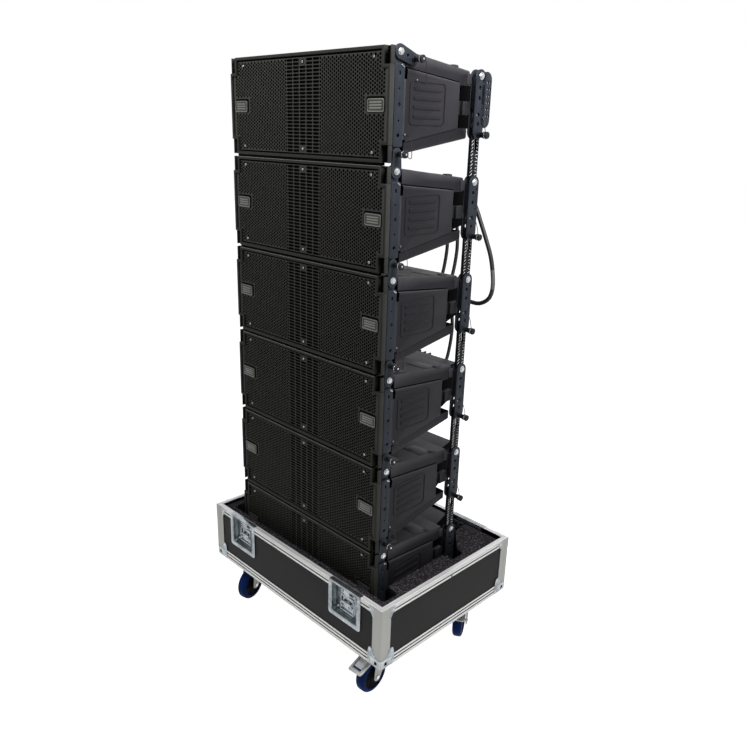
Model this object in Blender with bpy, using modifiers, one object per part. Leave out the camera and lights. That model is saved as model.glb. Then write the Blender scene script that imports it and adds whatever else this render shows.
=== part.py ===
"""Line array tower: six identical loudspeaker cabinets pinned in a straight column, standing in
the wheeled base of their transport case.

Metres, +Z up, +X to the right of someone facing the grilles, +Y towards the rear. The origin is on
the floor under the middle of the case. A cabinet is drawn in its own frame: x from its middle,
y from its front plane towards the rear, and z from its top plane, so its inside is at negative z.
"""

import math

import bmesh
import bpy
from mathutils import Matrix, Vector

# ---------------------------------------------------------------- driving dimensions
CABINETS = 6
PITCH = 0.240  # height of one cabinet with its share of the seam
FLOOR_TO_CASE = 0.140  # a 100 mm wheel in its fork, and the caster's plate
CASE_SIZE = Vector((0.741, 0.528, 0.177))
STACK_BOTTOM = 0.178  # bottom plane of the lowest cabinet
STACK_FRONT = -0.214
GAP = 0.0003  # between faces that touch

# Cabinet: front frame, housing and side panel
HALF_WIDTH = 0.290
SEAM = 0.006
FRAME_DEPTH = 0.014
FRAME_RAIL = 0.0105
NOTCH = Vector((0.020, 0.037))  # at each corner of the front frame, for the links
GRILLE_Y = 0.0040
GRILLE_THICKNESS = 0.0015
BAFFLE_Y = 0.0090
BAFFLE_THICKNESS = 0.0070
HOUSING_FRONT = 0.0163
SHOULDER_Y = 0.285  # where the full-width part of the housing ends
SIDE_HALF = 0.2835  # half width of the housing at its front plane
SIDE_TAPER = 0.040
TOP_SLOPE = 0.106
BOTTOM_SLOPE = 0.155
TOP_Z = -0.0030
BOTTOM_Z = -0.2270
WALL = 0.006
TAIL_Y = 0.388  # rear face of the narrow rear part, which the amplifier closes
UPPER_SOCKET = 0.090  # the amplifier's sockets, below the cabinet's top plane
LOWER_SOCKET = 0.128
PANEL_PROUD = 0.0050
PANEL_Y = (0.047, 0.243)
POCKET_Y = 0.2465
POCKET_X = 0.236

# Rigging: front strip, links, rear rail and pins
STRIP_X = (0.2840, 0.2888)
STRIP_Y = (0.0165, 0.0455)
STRIP_Z = (-0.2035, -0.0365)
FRONT_PIN = Vector((0.031, -0.218))  # y, z of the pin a cabinet swings on
FRONT_BOLT = Vector((0.031, -0.014))  # y, z of the bolt its front link turns on
LUG_X = (0.2710, 0.2832)
REAR_PIN = Vector((0.307, -0.174))
RAIL_X = (0.2680, 0.2880)
RAIL_Y = (0.2890, 0.3250)
RAIL_Z = (-0.184, -0.028)
LINK_X = (0.2740, 0.2820)
STOWED_X = (0.2830, 0.2880)
TIE_Z = (-0.130, -0.100)
PIN_RADIUS = 0.0040
HOLE_RADIUS = 0.0046
KNOB_RADIUS = 0.0080
KNOB_X = (0.3040, 0.3160)
LINK_BOLT_END = 0.0160  # radii of a front link's two round ends
LINK_PIN_END = 0.0130
LUG_RADIUS = 0.0125
SPLAY_LIMIT = math.radians(7)

# Transport case
PLY = 0.0095
TRIM = 0.0015
TOP_TRIM_HEIGHT = 0.023
BOTTOM_TRIM_HEIGHT = 0.030
LATCH_X = 0.231
LATCH_Z = 0.118  # hub of the butterfly above the case's underside
FOAM_TOP = 0.167  # above the case's underside

# Casters
WHEEL_RADIUS = 0.050
WHEEL_WIDTH = 0.032
TRAIL = 0.035
PEDAL_PIVOT = (0.018, 0.115)  # from the swivel axis along the trail, and above the floor
PEDAL_SLOPE = math.radians(20)
TREAD_X = (0.0440, 0.108)
SWIVEL = Vector((0.284, 0.177))
HEADINGS = {  # the way each wheel trails, from +X
    "front_left": -75,
    "front_right": -86,
    "rear_left": -105,
    "rear_right": -60,
}

CASE_HALF = CASE_SIZE / 2
CASE_TOP = FLOOR_TO_CASE + CASE_SIZE.z

# name: (colour, roughness, metallic)
FINISHES = {
    "polypropylene": ((0.045, 0.043, 0.050), 0.55, 0.0),
    "front_frame": ((0.022, 0.024, 0.020), 0.50, 0.0),
    "grille_steel": ((0.018, 0.020, 0.017), 0.45, 0.6),
    "rigging_steel": ((0.030, 0.036, 0.050), 0.38, 0.8),
    "amplifier": ((0.015, 0.015, 0.017), 0.45, 0.7),
    "laminate": ((0.018, 0.018, 0.019), 0.50, 0.0),
    "aluminium": ((0.72, 0.72, 0.70), 0.30, 1.0),
    "zinc": ((0.60, 0.62, 0.63), 0.32, 1.0),
    "foam": ((0.050, 0.045, 0.055), 0.95, 0.0),
    "blue_tyre": ((0.020, 0.070, 0.230), 0.45, 0.0),
    "cable_rubber": ((0.012, 0.012, 0.012), 0.55, 0.0),
}


# ---------------------------------------------------------------- scene and finishes
def empty_scene():
    for obj in list(bpy.data.objects):
        bpy.data.objects.remove(obj, do_unlink=True)


def finish(name):
    found = bpy.data.materials.get(name)
    if found:
        return found
    colour, roughness, metallic = FINISHES[name]
    made = bpy.data.materials.new(name)
    made.use_nodes = True
    shader = made.node_tree.nodes["Principled BSDF"]
    shader.inputs["Base Color"].default_value = (*colour, 1.0)
    shader.inputs["Roughness"].default_value = roughness
    shader.inputs["Metallic"].default_value = metallic
    return made


def collection(name):
    made = bpy.data.collections.new(name)
    bpy.context.scene.collection.children.link(made)
    return made


# ---------------------------------------------------------------- solids
def from_bmesh(shape):
    mesh = bpy.data.meshes.new("solid")
    shape.to_mesh(mesh)
    shape.free()
    made = bpy.data.objects.new("solid", mesh)
    WORKBENCH.objects.link(made)
    return made


def evaluated_mesh(obj):
    bpy.context.view_layer.update()
    return bpy.data.meshes.new_from_object(obj.evaluated_get(bpy.context.evaluated_depsgraph_get()))


def box(x, y, z, turn=0.0):
    """A box between the two values of each axis, turned about its own X by an angle."""
    shape = bmesh.new()
    bmesh.ops.create_cube(shape, size=1.0)
    bmesh.ops.scale(shape, vec=(x[1] - x[0], y[1] - y[0], z[1] - z[0]), verts=shape.verts)
    bmesh.ops.rotate(shape, cent=(0, 0, 0), matrix=Matrix.Rotation(turn, 3, "X"), verts=shape.verts)
    middle = (sum(x) / 2, sum(y) / 2, sum(z) / 2)
    bmesh.ops.translate(shape, vec=middle, verts=shape.verts)
    return from_bmesh(shape)


def wedge(y, front, rear):
    """A block that tapers along Y. Each end is its half width, its lowest and its highest z."""
    shape = bmesh.new()
    bmesh.ops.create_cube(shape, size=2.0)
    for corner in shape.verts:
        half, low, high = rear if corner.co.y > 0 else front
        corner.co = (corner.co.x * half, y[corner.co.y > 0], high if corner.co.z > 0 else low)
    return from_bmesh(shape)


def rod(radius, x, centre, sides=10):
    """A cylinder along X between two x values, about centre (y, z)."""
    shape = bmesh.new()
    bmesh.ops.create_cone(
        shape, cap_ends=True, segments=sides, radius1=radius, radius2=radius, depth=x[1] - x[0]
    )
    bmesh.ops.rotate(
        shape, cent=(0, 0, 0), matrix=Matrix.Rotation(math.pi / 2, 3, "Y"), verts=shape.verts
    )
    bmesh.ops.translate(shape, vec=(sum(x) / 2, *centre), verts=shape.verts)
    return from_bmesh(shape)


def cone(radii, y, centre, sides=10):
    """A cone along Y from radii[0] at y[0] to radii[1] at y[1], about centre (x, z)."""
    shape = bmesh.new()
    bmesh.ops.create_cone(
        shape, cap_ends=True, segments=sides, radius1=radii[0], radius2=radii[1], depth=y[1] - y[0]
    )
    bmesh.ops.rotate(
        shape, cent=(0, 0, 0), matrix=Matrix.Rotation(-math.pi / 2, 3, "X"), verts=shape.verts
    )
    bmesh.ops.translate(shape, vec=(centre[0], sum(y) / 2, centre[1]), verts=shape.verts)
    return from_bmesh(shape)


def plate(outlines, along, span):
    """A flat piece with the given outer outline, and holes, as thick as span along axis X, Y or Z."""
    curve = bpy.data.curves.new("outline", "CURVE")
    curve.dimensions = "2D"
    curve.fill_mode = "BOTH"
    curve.extrude = (span[1] - span[0]) / 2
    for outline in outlines:
        spline = curve.splines.new("POLY")
        spline.points.add(len(outline) - 1)
        for point, place in zip(spline.points, outline):
            point.co = (*place, 0.0, 1.0)
        spline.use_cyclic_u = True
    flat = bpy.data.objects.new("outline", curve)
    WORKBENCH.objects.link(flat)
    mesh = evaluated_mesh(flat)
    bpy.data.objects.remove(flat)
    turn = {
        "X": Matrix(((0, 0, 1), (1, 0, 0), (0, 1, 0))),
        "Y": Matrix(((1, 0, 0), (0, 0, -1), (0, 1, 0))),
        "Z": Matrix.Identity(3),
    }[along]
    shape = bmesh.new()
    shape.from_mesh(mesh)
    bmesh.ops.remove_doubles(shape, verts=shape.verts, dist=1e-6)
    bmesh.ops.dissolve_limit(
        shape, angle_limit=math.radians(1), verts=shape.verts, edges=shape.edges
    )
    bmesh.ops.transform(shape, matrix=turn.to_4x4(), verts=shape.verts)
    shift = [0.0, 0.0, 0.0]
    shift["XYZ".index(along)] = sum(span) / 2
    bmesh.ops.translate(shape, vec=shift, verts=shape.verts)
    return from_bmesh(shape)


def combine(base, tool, operation):
    """One exact Boolean, applied. The tool is used up."""
    step = base.modifiers.new("combine", "BOOLEAN")
    step.operation = operation
    step.object = tool
    mesh = evaluated_mesh(base)
    base.modifiers.clear()
    base.data = mesh
    bpy.data.objects.remove(tool)
    return base


def fuse(base, *tools):
    for tool in tools:
        combine(base, tool, "UNION")
    return base


def cut(base, *tools):
    for tool in tools:
        combine(base, tool, "DIFFERENCE")
    return base


def rounded(base, width, segments=1):
    step = base.modifiers.new("rounded", "BEVEL")
    step.width = width
    step.segments = segments
    mesh = evaluated_mesh(base)
    base.modifiers.clear()
    base.data = mesh
    return base


def mirrored_mesh(mesh):
    """The same shape on the other side of the plane x = 0."""
    shape = bmesh.new()
    shape.from_mesh(mesh)
    bmesh.ops.scale(shape, vec=(-1, 1, 1), verts=shape.verts)
    bmesh.ops.reverse_faces(shape, faces=shape.faces)
    made = bpy.data.meshes.new("mirrored")
    shape.to_mesh(made)
    shape.free()
    return made


def place(name, mesh, colour, parent=None, at=(0, 0, 0)):
    """The named sub-part. Its mesh is drawn about `at` in its parent's frame."""
    made = bpy.data.objects.new(name, mesh)
    PARTS.objects.link(made)
    if not mesh.materials:
        mesh.materials.append(finish(colour))
    mesh.materials[0] = finish(colour)
    mesh.shade_smooth()
    mesh.set_sharp_from_angle(angle=math.radians(30))
    made.parent = parent
    made.location = at
    return made


def finished(solid):
    """The solid's mesh, taken off the workbench."""
    mesh = solid.data
    bpy.data.objects.remove(solid)
    return mesh


def joint_empty(name, at, parent=None, heading=0.0):
    """An empty on a joint's axis, for the pieces that move together."""
    made = bpy.data.objects.new(name, None)
    made.empty_display_size = 0.03
    PARTS.objects.link(made)
    made.parent = parent
    made.location = at
    made.rotation_euler.z = heading
    return made


def arc(centre, radius, start, stop, steps):
    """Points on a circle from one angle to another, in degrees."""
    angles = [math.radians(start + (stop - start) * k / steps) for k in range(steps + 1)]
    return [(centre[0] + radius * math.cos(a), centre[1] + radius * math.sin(a)) for a in angles]


def capsule(first, second, radius_first, radius_second, steps=3):
    """The outline of a link with a round end about each of its two holes."""
    heading = math.degrees(math.atan2(second[1] - first[1], second[0] - first[0]))
    return arc(first, radius_first, heading + 90, heading + 270, steps) + arc(
        second, radius_second, heading - 90, heading + 90, steps
    )


def rectangle(half_x, half_y):
    return [(-half_x, -half_y), (half_x, -half_y), (half_x, half_y), (-half_x, half_y)]


# ---------------------------------------------------------------- cabinet pieces
def notched_block(y, inset):
    """A block with the front frame's outline, this far inside its edge, notched at each corner."""
    x = HALF_WIDTH - inset
    low, high = -PITCH + SEAM / 2 + inset, -SEAM / 2 - inset
    step_x, step_z = NOTCH
    tall = box((-x + step_x, x - step_x), y, (low, high))
    return fuse(tall, box((-x, x), y, (low + step_z, high - step_z)))


def housing_section(y, inset):
    """Half width, lowest and highest z of the housing at a depth, this far inside its skin."""
    return (
        SIDE_HALF - SIDE_TAPER * y - inset,
        BOTTOM_Z + BOTTOM_SLOPE * y + inset,
        TOP_Z - TOP_SLOPE * y - inset,
    )


def panel_section(y):
    """The raised side panel at a depth."""
    return (
        SIDE_HALF + PANEL_PROUD - SIDE_TAPER * y,
        -0.203 + 0.172 * y,
        -0.039 - 0.092 * y,
    )


def housing_mesh():
    """The moulded shell, open at the front for the baffle and at the rear for the amplifier."""
    shell = wedge(
        (HOUSING_FRONT, SHOULDER_Y),
        housing_section(HOUSING_FRONT, 0),
        housing_section(SHOULDER_Y, 0),
    )
    rounded(shell, 0.004)
    side_panel = wedge(PANEL_Y, panel_section(PANEL_Y[0]), panel_section(PANEL_Y[1]))
    rounded(side_panel, 0.003)
    tail_front, tail_rear = (0.248, -0.166, -0.052), (0.205, -0.158, -0.060)
    tail = rounded(wedge((SHOULDER_Y - 0.02, TAIL_Y), tail_front, tail_rear), 0.004)
    fuse(shell, side_panel, tail)

    # pockets behind the side panels, where the rigging comes out, and at the front corners
    for side in (-1, 1):
        pocket_x = sorted((side * POCKET_X, side * 0.310))
        corner_x = sorted((side * 0.2680, side * 0.310))
        cut(
            shell,
            box(pocket_x, (POCKET_Y, 0.295), (-0.160, -0.066)),
            box(corner_x, (0.0, 0.0560), (-0.066, 0.010)),
            box(corner_x, (0.0, 0.0560), (-0.250, -0.188)),
        )

    # the hollow: full height between the front corners, full width between them in height
    rear_of_box = POCKET_Y - WALL
    narrow_front, narrow_rear = housing_section(HOUSING_FRONT, WALL), housing_section(rear_of_box, WALL)
    between_corners = 0.2615  # half width
    between_pockets = (-0.1815, -0.0725)  # lowest and highest z
    hollow = wedge(
        (HOUSING_FRONT - 0.01, rear_of_box),
        (between_corners, *narrow_front[1:]),
        (between_corners, *narrow_rear[1:]),
    )
    wide = wedge(
        (HOUSING_FRONT - 0.01, rear_of_box),
        (narrow_front[0], *between_pockets),
        (narrow_rear[0], *between_pockets),
    )
    tunnel = wedge((rear_of_box - 0.01, TAIL_Y + 0.01), (0.224, -0.155, -0.066), (0.190, -0.150, -0.068))
    cut(shell, fuse(hollow, wide, tunnel))

    # slots that the tie bar passes through
    slot_z = (TIE_Z[0] - 0.0015, TIE_Z[1] + 0.0015)
    for side in (-1, 1):
        front_x = sorted((side * 0.255, side * 0.295))
        rear_x = sorted((side * 0.2590, side * 0.2665))
        cut(
            shell,
            box(front_x, (0.0195, 0.0405), slot_z),
            box(rear_x, (rear_of_box - 0.005, POCKET_Y + 0.005), slot_z),
        )
    return finished(shell)


def front_baffle_mesh():
    """The notched front frame, its baffle, and the drivers bolted behind it."""
    frame = cut(
        notched_block((0.0, FRAME_DEPTH), 0),
        notched_block((-0.01, FRAME_DEPTH + 0.01), FRAME_RAIL),
    )
    board = notched_block((BAFFLE_Y, BAFFLE_Y + BAFFLE_THICKNESS), FRAME_RAIL / 2)
    behind = BAFFLE_Y + BAFFLE_THICKNESS - 0.001
    middle = -PITCH / 2
    woofer = fuse(
        cone((0.095, 0.045), (behind, 0.075), (-0.1600, middle)),
        cone((0.066, 0.066), (0.070, 0.100), (-0.1600, middle)),
    )
    midrange = fuse(
        cone((0.082, 0.038), (behind, 0.062), (0.1600, middle)),
        cone((0.050, 0.050), (0.058, 0.085), (0.1600, middle)),
    )
    waveguide = wedge((behind, 0.110), (0.055, -0.2150, -0.0250), (0.020, -0.2000, -0.0400))
    for level in (-0.168, -0.120, -0.072):
        fuse(waveguide, cone((0.0220, 0.0220), (0.105, 0.145), (0.0, level), 8))
    return finished(fuse(frame, board, woofer, midrange, waveguide))


def grille_mesh():
    """The pressed steel grille inside the frame. Its perforation is too fine for this solid."""
    return finished(notched_block((GRILLE_Y, GRILLE_Y + GRILLE_THICKNESS), FRAME_RAIL + GAP))


def amp_panel_mesh():
    """Amplifier module: mounting plate, chassis inside the tail, and the heat sink's fins."""
    front = TAIL_Y + GAP
    module = box((-0.2030, 0.2030), (front, front + 0.004), (-0.156, -0.062))
    chassis = box((-0.1850, 0.1850), (0.270, front + 0.001), (-0.148, -0.071))
    fuse(module, chassis)
    fins, spread = 9, 0.078
    for k in range(fins):
        x = -spread + 2 * spread * k / (fins - 1)
        fuse(module, box((x - 0.0018, x + 0.0018), (front + 0.003, 0.425), (-0.150, -0.068)))
    for x in (-0.128, 0.128):
        fuse(module, box((x - 0.042, x + 0.042), (front + 0.003, front + 0.010), (-0.146, -0.072)))
    return finished(module)


def front_link(lower, upper):
    """A front link's plate, between the bolt it turns on and its pin hole."""
    return plate([capsule(lower, upper, LINK_BOLT_END, LINK_PIN_END)], "X", STRIP_X)


def rigging_mesh(linked):
    """Right-hand steel frame. Linked: its links stand up into the cabinet above."""
    strip = box(STRIP_X, STRIP_Y, STRIP_Z)
    shoulder = box((LUG_X[0], STRIP_X[0] + 0.002), (0.0185, 0.0435), (-0.0620, -0.0370))
    foot = box((LUG_X[0], STRIP_X[0] + 0.002), (0.0185, 0.0435), (-0.2035, -0.1900))
    top_lug = plate([capsule((0.031, -0.045), FRONT_BOLT, LUG_RADIUS, LUG_RADIUS)], "X", LUG_X)
    bottom_lug = plate([capsule((0.031, -0.200), FRONT_PIN, LUG_RADIUS, LUG_RADIUS)], "X", LUG_X)
    bolt = rod(PIN_RADIUS, (0.2720, 0.2900), FRONT_BOLT)
    bolt_head = rod(0.0070, (0.2894, 0.2930), FRONT_BOLT, 6)
    pin = rod(PIN_RADIUS, (0.2720, 0.3050), FRONT_PIN)
    knob = rod(KNOB_RADIUS, KNOB_X, FRONT_PIN)
    tie = fuse(
        box((0.2620, STRIP_X[0] + 0.002), (0.0200, 0.0400), TIE_Z),
        box((0.2600, 0.2655), (0.0200, 0.2700), TIE_Z),
        box((0.2600, LINK_X[0] - 0.0006), (0.2620, RAIL_Y[0] + 0.002), TIE_Z),
    )

    rail = box(RAIL_X, RAIL_Y, RAIL_Z)
    cut(rail, box((LINK_X[0] - 0.0008, LINK_X[1] + 0.0008), (0.28, 0.34), (-0.200, -0.116)))
    rear_pin = rod(PIN_RADIUS, (0.2640, 0.3070), REAR_PIN)
    rear_knob = rod(KNOB_RADIUS, (0.3060, 0.3180), REAR_PIN)
    rear_bolt = rod(0.0065, (RAIL_X[1] - 0.002, RAIL_X[1] + 0.004), (REAR_PIN[0], -0.043), 6)
    frame = fuse(strip, shoulder, foot, top_lug, bottom_lug, bolt, bolt_head, pin, knob, tie)
    fuse(frame, rail, rear_pin, rear_knob, rear_bolt)

    if linked:
        pin_above = FRONT_PIN + Vector((0, PITCH))
        up = front_link(FRONT_BOLT, pin_above)
        cut(up, rod(HOLE_RADIUS, (0.27, 0.30), pin_above))
        fuse(frame, up, rear_link_up())
    else:
        stowed = plate([capsule((0.330, -0.050), (0.330, -0.140), 0.018, 0.018)], "X", STOWED_X)
        fuse(frame, stowed)
    return finished(frame)


def rear_link_up():
    """The rear link with the slot that the pin above slides down as the cabinet tilts."""
    pin_above = REAR_PIN + Vector((0, PITCH))
    link = box(LINK_X, (REAR_PIN[0] - 0.015, REAR_PIN[0] + 0.015), (-0.034, pin_above[1] + 0.014))
    pivot = FRONT_PIN + Vector((0, PITCH))
    reach = pin_above - pivot
    drop = reach[0] * math.sin(SPLAY_LIMIT) + reach[1] * (1 - math.cos(SPLAY_LIMIT))
    shift = reach[1] * math.sin(SPLAY_LIMIT) - reach[0] * (1 - math.cos(SPLAY_LIMIT))
    slot_half = Vector((0.0060, drop / 2 + 0.0055))
    centre = pin_above + Vector((shift / 2, -drop / 2))
    slot = box(
        (LINK_X[0] - 0.002, LINK_X[1] + 0.002),
        (centre[0] - slot_half[0], centre[0] + slot_half[0]),
        (centre[1] - slot_half[1], centre[1] + slot_half[1]),
        math.atan2(shift, drop),
    )
    return cut(link, slot)


def folded_link_mesh():
    """The top cabinet's right front link, folded back, with its pin stored in it."""
    stored_pin = FRONT_BOLT + Vector((0.042, -0.012))
    link = front_link(FRONT_BOLT, stored_pin)
    cut(link, rod(HOLE_RADIUS, (0.27, 0.30), FRONT_BOLT))
    pin = rod(PIN_RADIUS, (STRIP_X[0], 0.3050), stored_pin)
    knob = rod(KNOB_RADIUS, KNOB_X, stored_pin)
    return finished(fuse(link, pin, knob))


def cabinets():
    """Every cabinet hangs on an empty at its front pins, so each one can tilt on the one below."""
    pieces = {
        "housing": (housing_mesh(), "polypropylene"),
        "front_baffle": (front_baffle_mesh(), "front_frame"),
        "grille": (grille_mesh(), "grille_steel"),
        "amp_panel": (amp_panel_mesh(), "amplifier"),
    }
    rigging = {linked: rigging_mesh(linked) for linked in (True, False)}
    other_side = {linked: mirrored_mesh(mesh) for linked, mesh in rigging.items()}
    hanger = None
    found = {}
    for number in range(CABINETS, 0, -1):
        at = Vector((0, STACK_FRONT + FRONT_PIN[0], cabinet_top(number) + FRONT_PIN[1]))
        if hanger:
            at = Vector((0, 0, PITCH))
        hanger = joint_empty(f"cabinet_{number}_pins", at, hanger)
        found[number] = hanger
        back = (0, -FRONT_PIN[0], -FRONT_PIN[1])
        for name, (mesh, colour) in pieces.items():
            place(f"{name}_{number}", mesh, colour, hanger, back)
        linked = number > 1
        place(f"rigging_right_{number}", rigging[linked], "rigging_steel", hanger, back)
        place(f"rigging_left_{number}", other_side[linked], "rigging_steel", hanger, back)
    right_link = folded_link_mesh()
    top_back = (0, -FRONT_PIN[0], -FRONT_PIN[1])
    place("front_link_right", right_link, "rigging_steel", hanger, top_back)
    place("front_link_left", mirrored_mesh(right_link), "rigging_steel", hanger, top_back)
    return found


def cabinet_top(number):
    return STACK_BOTTOM + (CABINETS + 1 - number) * PITCH


# ---------------------------------------------------------------- cables
def cable_route(points, spacing):
    """Points at an even spacing along the smooth curve through the route's own points."""
    places = [Vector(p) for p in points]
    places = [2 * places[0] - places[1], *places, 2 * places[-1] - places[-2]]
    dense = []
    for before, start, end, after in zip(places, places[1:], places[2:], places[3:]):
        for k in range(20):
            t = k / 20
            dense.append(
                0.5
                * (
                    2 * start
                    + (end - before) * t
                    + (2 * before - 5 * start + 4 * end - after) * t**2
                    + (3 * start - before - 3 * end + after) * t**3
                )
            )
    dense.append(places[-2])
    lengths = [(b - a).length for a, b in zip(dense, dense[1:])]
    count = max(2, round(sum(lengths) / spacing))
    step = sum(lengths) / count
    route, walked, goal = [dense[0]], 0.0, step
    for a, b, length in zip(dense, dense[1:], lengths):
        while length and walked + length >= goal and len(route) < count:
            route.append(a.lerp(b, (goal - walked) / length))
            goal += step
        walked += length
    route.append(dense[-1])
    return route


def cable(name, points, diameter, parent):
    """A round cable through the given points, which are in world coordinates."""
    curve = bpy.data.curves.new(name, "CURVE")
    curve.dimensions = "3D"
    curve.bevel_depth = diameter / 2
    curve.bevel_resolution = 2
    curve.use_fill_caps = True
    route = cable_route(points, 2.2 * diameter)
    spline = curve.splines.new("POLY")
    spline.points.add(len(route) - 1)
    for point, at in zip(spline.points, route):
        point.co = (*at, 1.0)
    curve.materials.append(finish("cable_rubber"))
    made = bpy.data.objects.new(name, curve)
    PARTS.objects.link(made)
    made.parent = parent
    bpy.context.view_layer.update()
    made.matrix_parent_inverse = parent.matrix_world.inverted()
    return made


def jumper_cables(hangers):
    """Leads plugged into one cabinet's amplifier and the next one's, each held at both ends."""
    exit_y = STACK_FRONT + TAIL_Y + 0.010 + 3 * GAP
    top_2, top_3, top_4 = (cabinet_top(n) for n in (2, 3, 4))
    loop_x, loop_plane = 0.158, STACK_FRONT + 0.456
    cable(
        "cable_2_3_loop",
        [
            (loop_x, exit_y, top_2 - UPPER_SOCKET), (loop_x, exit_y + 0.028, top_2 - UPPER_SOCKET),
            (0.166, loop_plane - 0.006, top_2 - 0.092), (0.182, loop_plane, top_2 - 0.118),
            (0.203, loop_plane, top_2 - 0.158), (0.228, loop_plane, top_2 - 0.208),
            (0.246, loop_plane, top_2 - 0.250), (0.257, loop_plane, top_2 - 0.300),
            (0.258, loop_plane, top_3 - 0.095), (0.247, loop_plane, top_3 - 0.122),
            (0.218, loop_plane, top_3 - 0.139), (0.188, loop_plane - 0.002, top_3 - 0.139),
            (0.166, loop_plane - 0.012, top_3 - 0.132), (loop_x, exit_y + 0.024, top_3 - LOWER_SOCKET),
            (loop_x, exit_y, top_3 - LOWER_SOCKET),
        ],
        0.012,
        hangers[3],
    )  # fmt: skip
    for name, x, upper, lower, parent in (
        ("cable_2_3_power", 0.0950, top_2, top_3, hangers[3]),
        ("cable_2_3_signal", 0.1310, top_2, top_3, hangers[3]),
        ("cable_3_4_signal", 0.1310, top_3, top_4, hangers[4]),
    ):
        start, end = upper - LOWER_SOCKET, lower - UPPER_SOCKET
        cable(
            name,
            [
                (x, exit_y, start), (x, exit_y + 0.018, start),
                (x, exit_y + 0.038, start - 0.020), (x + 0.003, exit_y + 0.048, (start + end) / 2),
                (x, exit_y + 0.038, end + 0.020), (x, exit_y + 0.018, end), (x, exit_y, end),
            ],
            0.010,
            parent,
        )  # fmt: skip


# ---------------------------------------------------------------- transport case
def ring(half, wall_x, wall_y, z):
    return plate([rectangle(*half), rectangle(half[0] - wall_x, half[1] - wall_y)], "Z", z)


def case_tray():
    """Floor and four walls of laminated ply, with a window for each latch dish."""
    outer = (CASE_HALF.x - TRIM - GAP, CASE_HALF.y - TRIM - GAP)
    floor_z = (FLOOR_TO_CASE + GAP, FLOOR_TO_CASE + 0.0090)
    walls = ring(outer, PLY, PLY, (floor_z[0], CASE_TOP - TRIM - GAP))
    floor = box((-outer[0] + 0.001, outer[0] - 0.001), (-outer[1] + 0.001, outer[1] - 0.001), floor_z)
    tray = fuse(walls, floor)
    for side in (-1, 1):
        for end in (-1, 1):
            x = sorted((side * (LATCH_X - 0.0505), side * (LATCH_X + 0.0505)))
            y = sorted((end * 0.240, end * 0.280))
            cut(tray, box(x, y, (FLOOR_TO_CASE + 0.0815, CASE_TOP + 0.01)))
    return place("case_tray", finished(tray), "laminate")


def latch_dish(side, end):
    """A recessed latch dish let into a long wall, its flange on the outside."""
    x, face = side * LATCH_X, end * CASE_HALF.y

    def span(half):
        return (x - half, x + half)

    def depth(inner, outer):
        return sorted((face - end * inner, face + end * outer))

    low = FLOOR_TO_CASE
    pan = box(span(0.0500), depth(0.0162, 0.0005), (low + 0.0820, CASE_TOP - TRIM + 0.001))
    flange = box(span(0.0620), depth(0.0005, TRIM), (low + 0.0710, CASE_TOP - 0.0002))
    hollow = box(span(0.0485), depth(0.0147, 0.010), (low + 0.0835, CASE_TOP - 0.0060))
    return fuse(pan, flange), hollow


def case_top_trim():
    """Aluminium edging round the rim, with the corner braces and the four latch dishes."""
    half = (CASE_HALF.x, CASE_HALF.y)
    skirt = ring(half, TRIM, TRIM, (CASE_TOP - TOP_TRIM_HEIGHT, CASE_TOP))
    lip = ring((half[0] - 0.0005, half[1] - 0.0005), 0.0140, 0.0140, (CASE_TOP - TRIM, CASE_TOP))
    trim = fuse(skirt, lip)
    for side in (-1, 1):
        for end in (-1, 1):
            corner_x = sorted((side * (half[0] - 0.040), side * (half[0] + 0.0012)))
            corner_y = sorted((end * (half[1] - 0.040), end * (half[1] + 0.0012)))
            brace = box(corner_x, corner_y, (CASE_TOP - 0.034, CASE_TOP - 0.004))
            inside_x = sorted((side * (half[0] - 0.050), side * (half[0] - 0.0010)))
            inside_y = sorted((end * (half[1] - 0.050), end * (half[1] - 0.0010)))
            cut(brace, box(inside_x, inside_y, (CASE_TOP - 0.040, CASE_TOP)))
            dish, hollow = latch_dish(side, end)
            cut(fuse(trim, brace, dish), hollow)
    return place("case_top_trim", finished(trim), "aluminium")


def case_bottom_trim():
    """Aluminium bottom edging and corner angles, ball corners, and the casters' plates."""
    half = (CASE_HALF.x, CASE_HALF.y)
    low = FLOOR_TO_CASE
    skirt = ring(half, TRIM, TRIM, (low - TRIM, low + BOTTOM_TRIM_HEIGHT))
    lip = ring((half[0] - 0.0005, half[1] - 0.0005), 0.0300, 0.0300, (low - TRIM, low))
    trim = fuse(skirt, lip)
    for side in (-1, 1):
        for end in (-1, 1):

            def corner(reach, proud, inner, z):
                """An L round this corner: as far as reach, standing proud, hollow inside."""
                x = sorted((side * (half[0] - reach), side * (half[0] + proud)))
                y = sorted((end * (half[1] - reach), end * (half[1] + proud)))
                solid = box(x, y, z)
                x_in = sorted((side * (half[0] - reach - 0.01), side * (half[0] - inner)))
                y_in = sorted((end * (half[1] - reach - 0.01), end * (half[1] - inner)))
                return cut(solid, box(x_in, y_in, (z[0] - 0.01, z[1] + 0.01)))

            angle = corner(0.030, 0.0, TRIM, (low, CASE_TOP - 0.0345))
            ball = corner(0.044, 0.0025, 0.0010, (low - 0.0020, low + 0.0420))
            plate_x = sorted((side * (SWIVEL.x - 0.046), side * (half[0] - 0.0250)))
            plate_y = sorted((end * (SWIVEL.y - 0.043), end * (half[1] - 0.0250)))
            pad = box(plate_x, plate_y, (low - 0.0045, low - 0.0008))
            fuse(trim, angle, ball, pad)
    return place("case_bottom_trim", finished(trim), "zinc")


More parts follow.
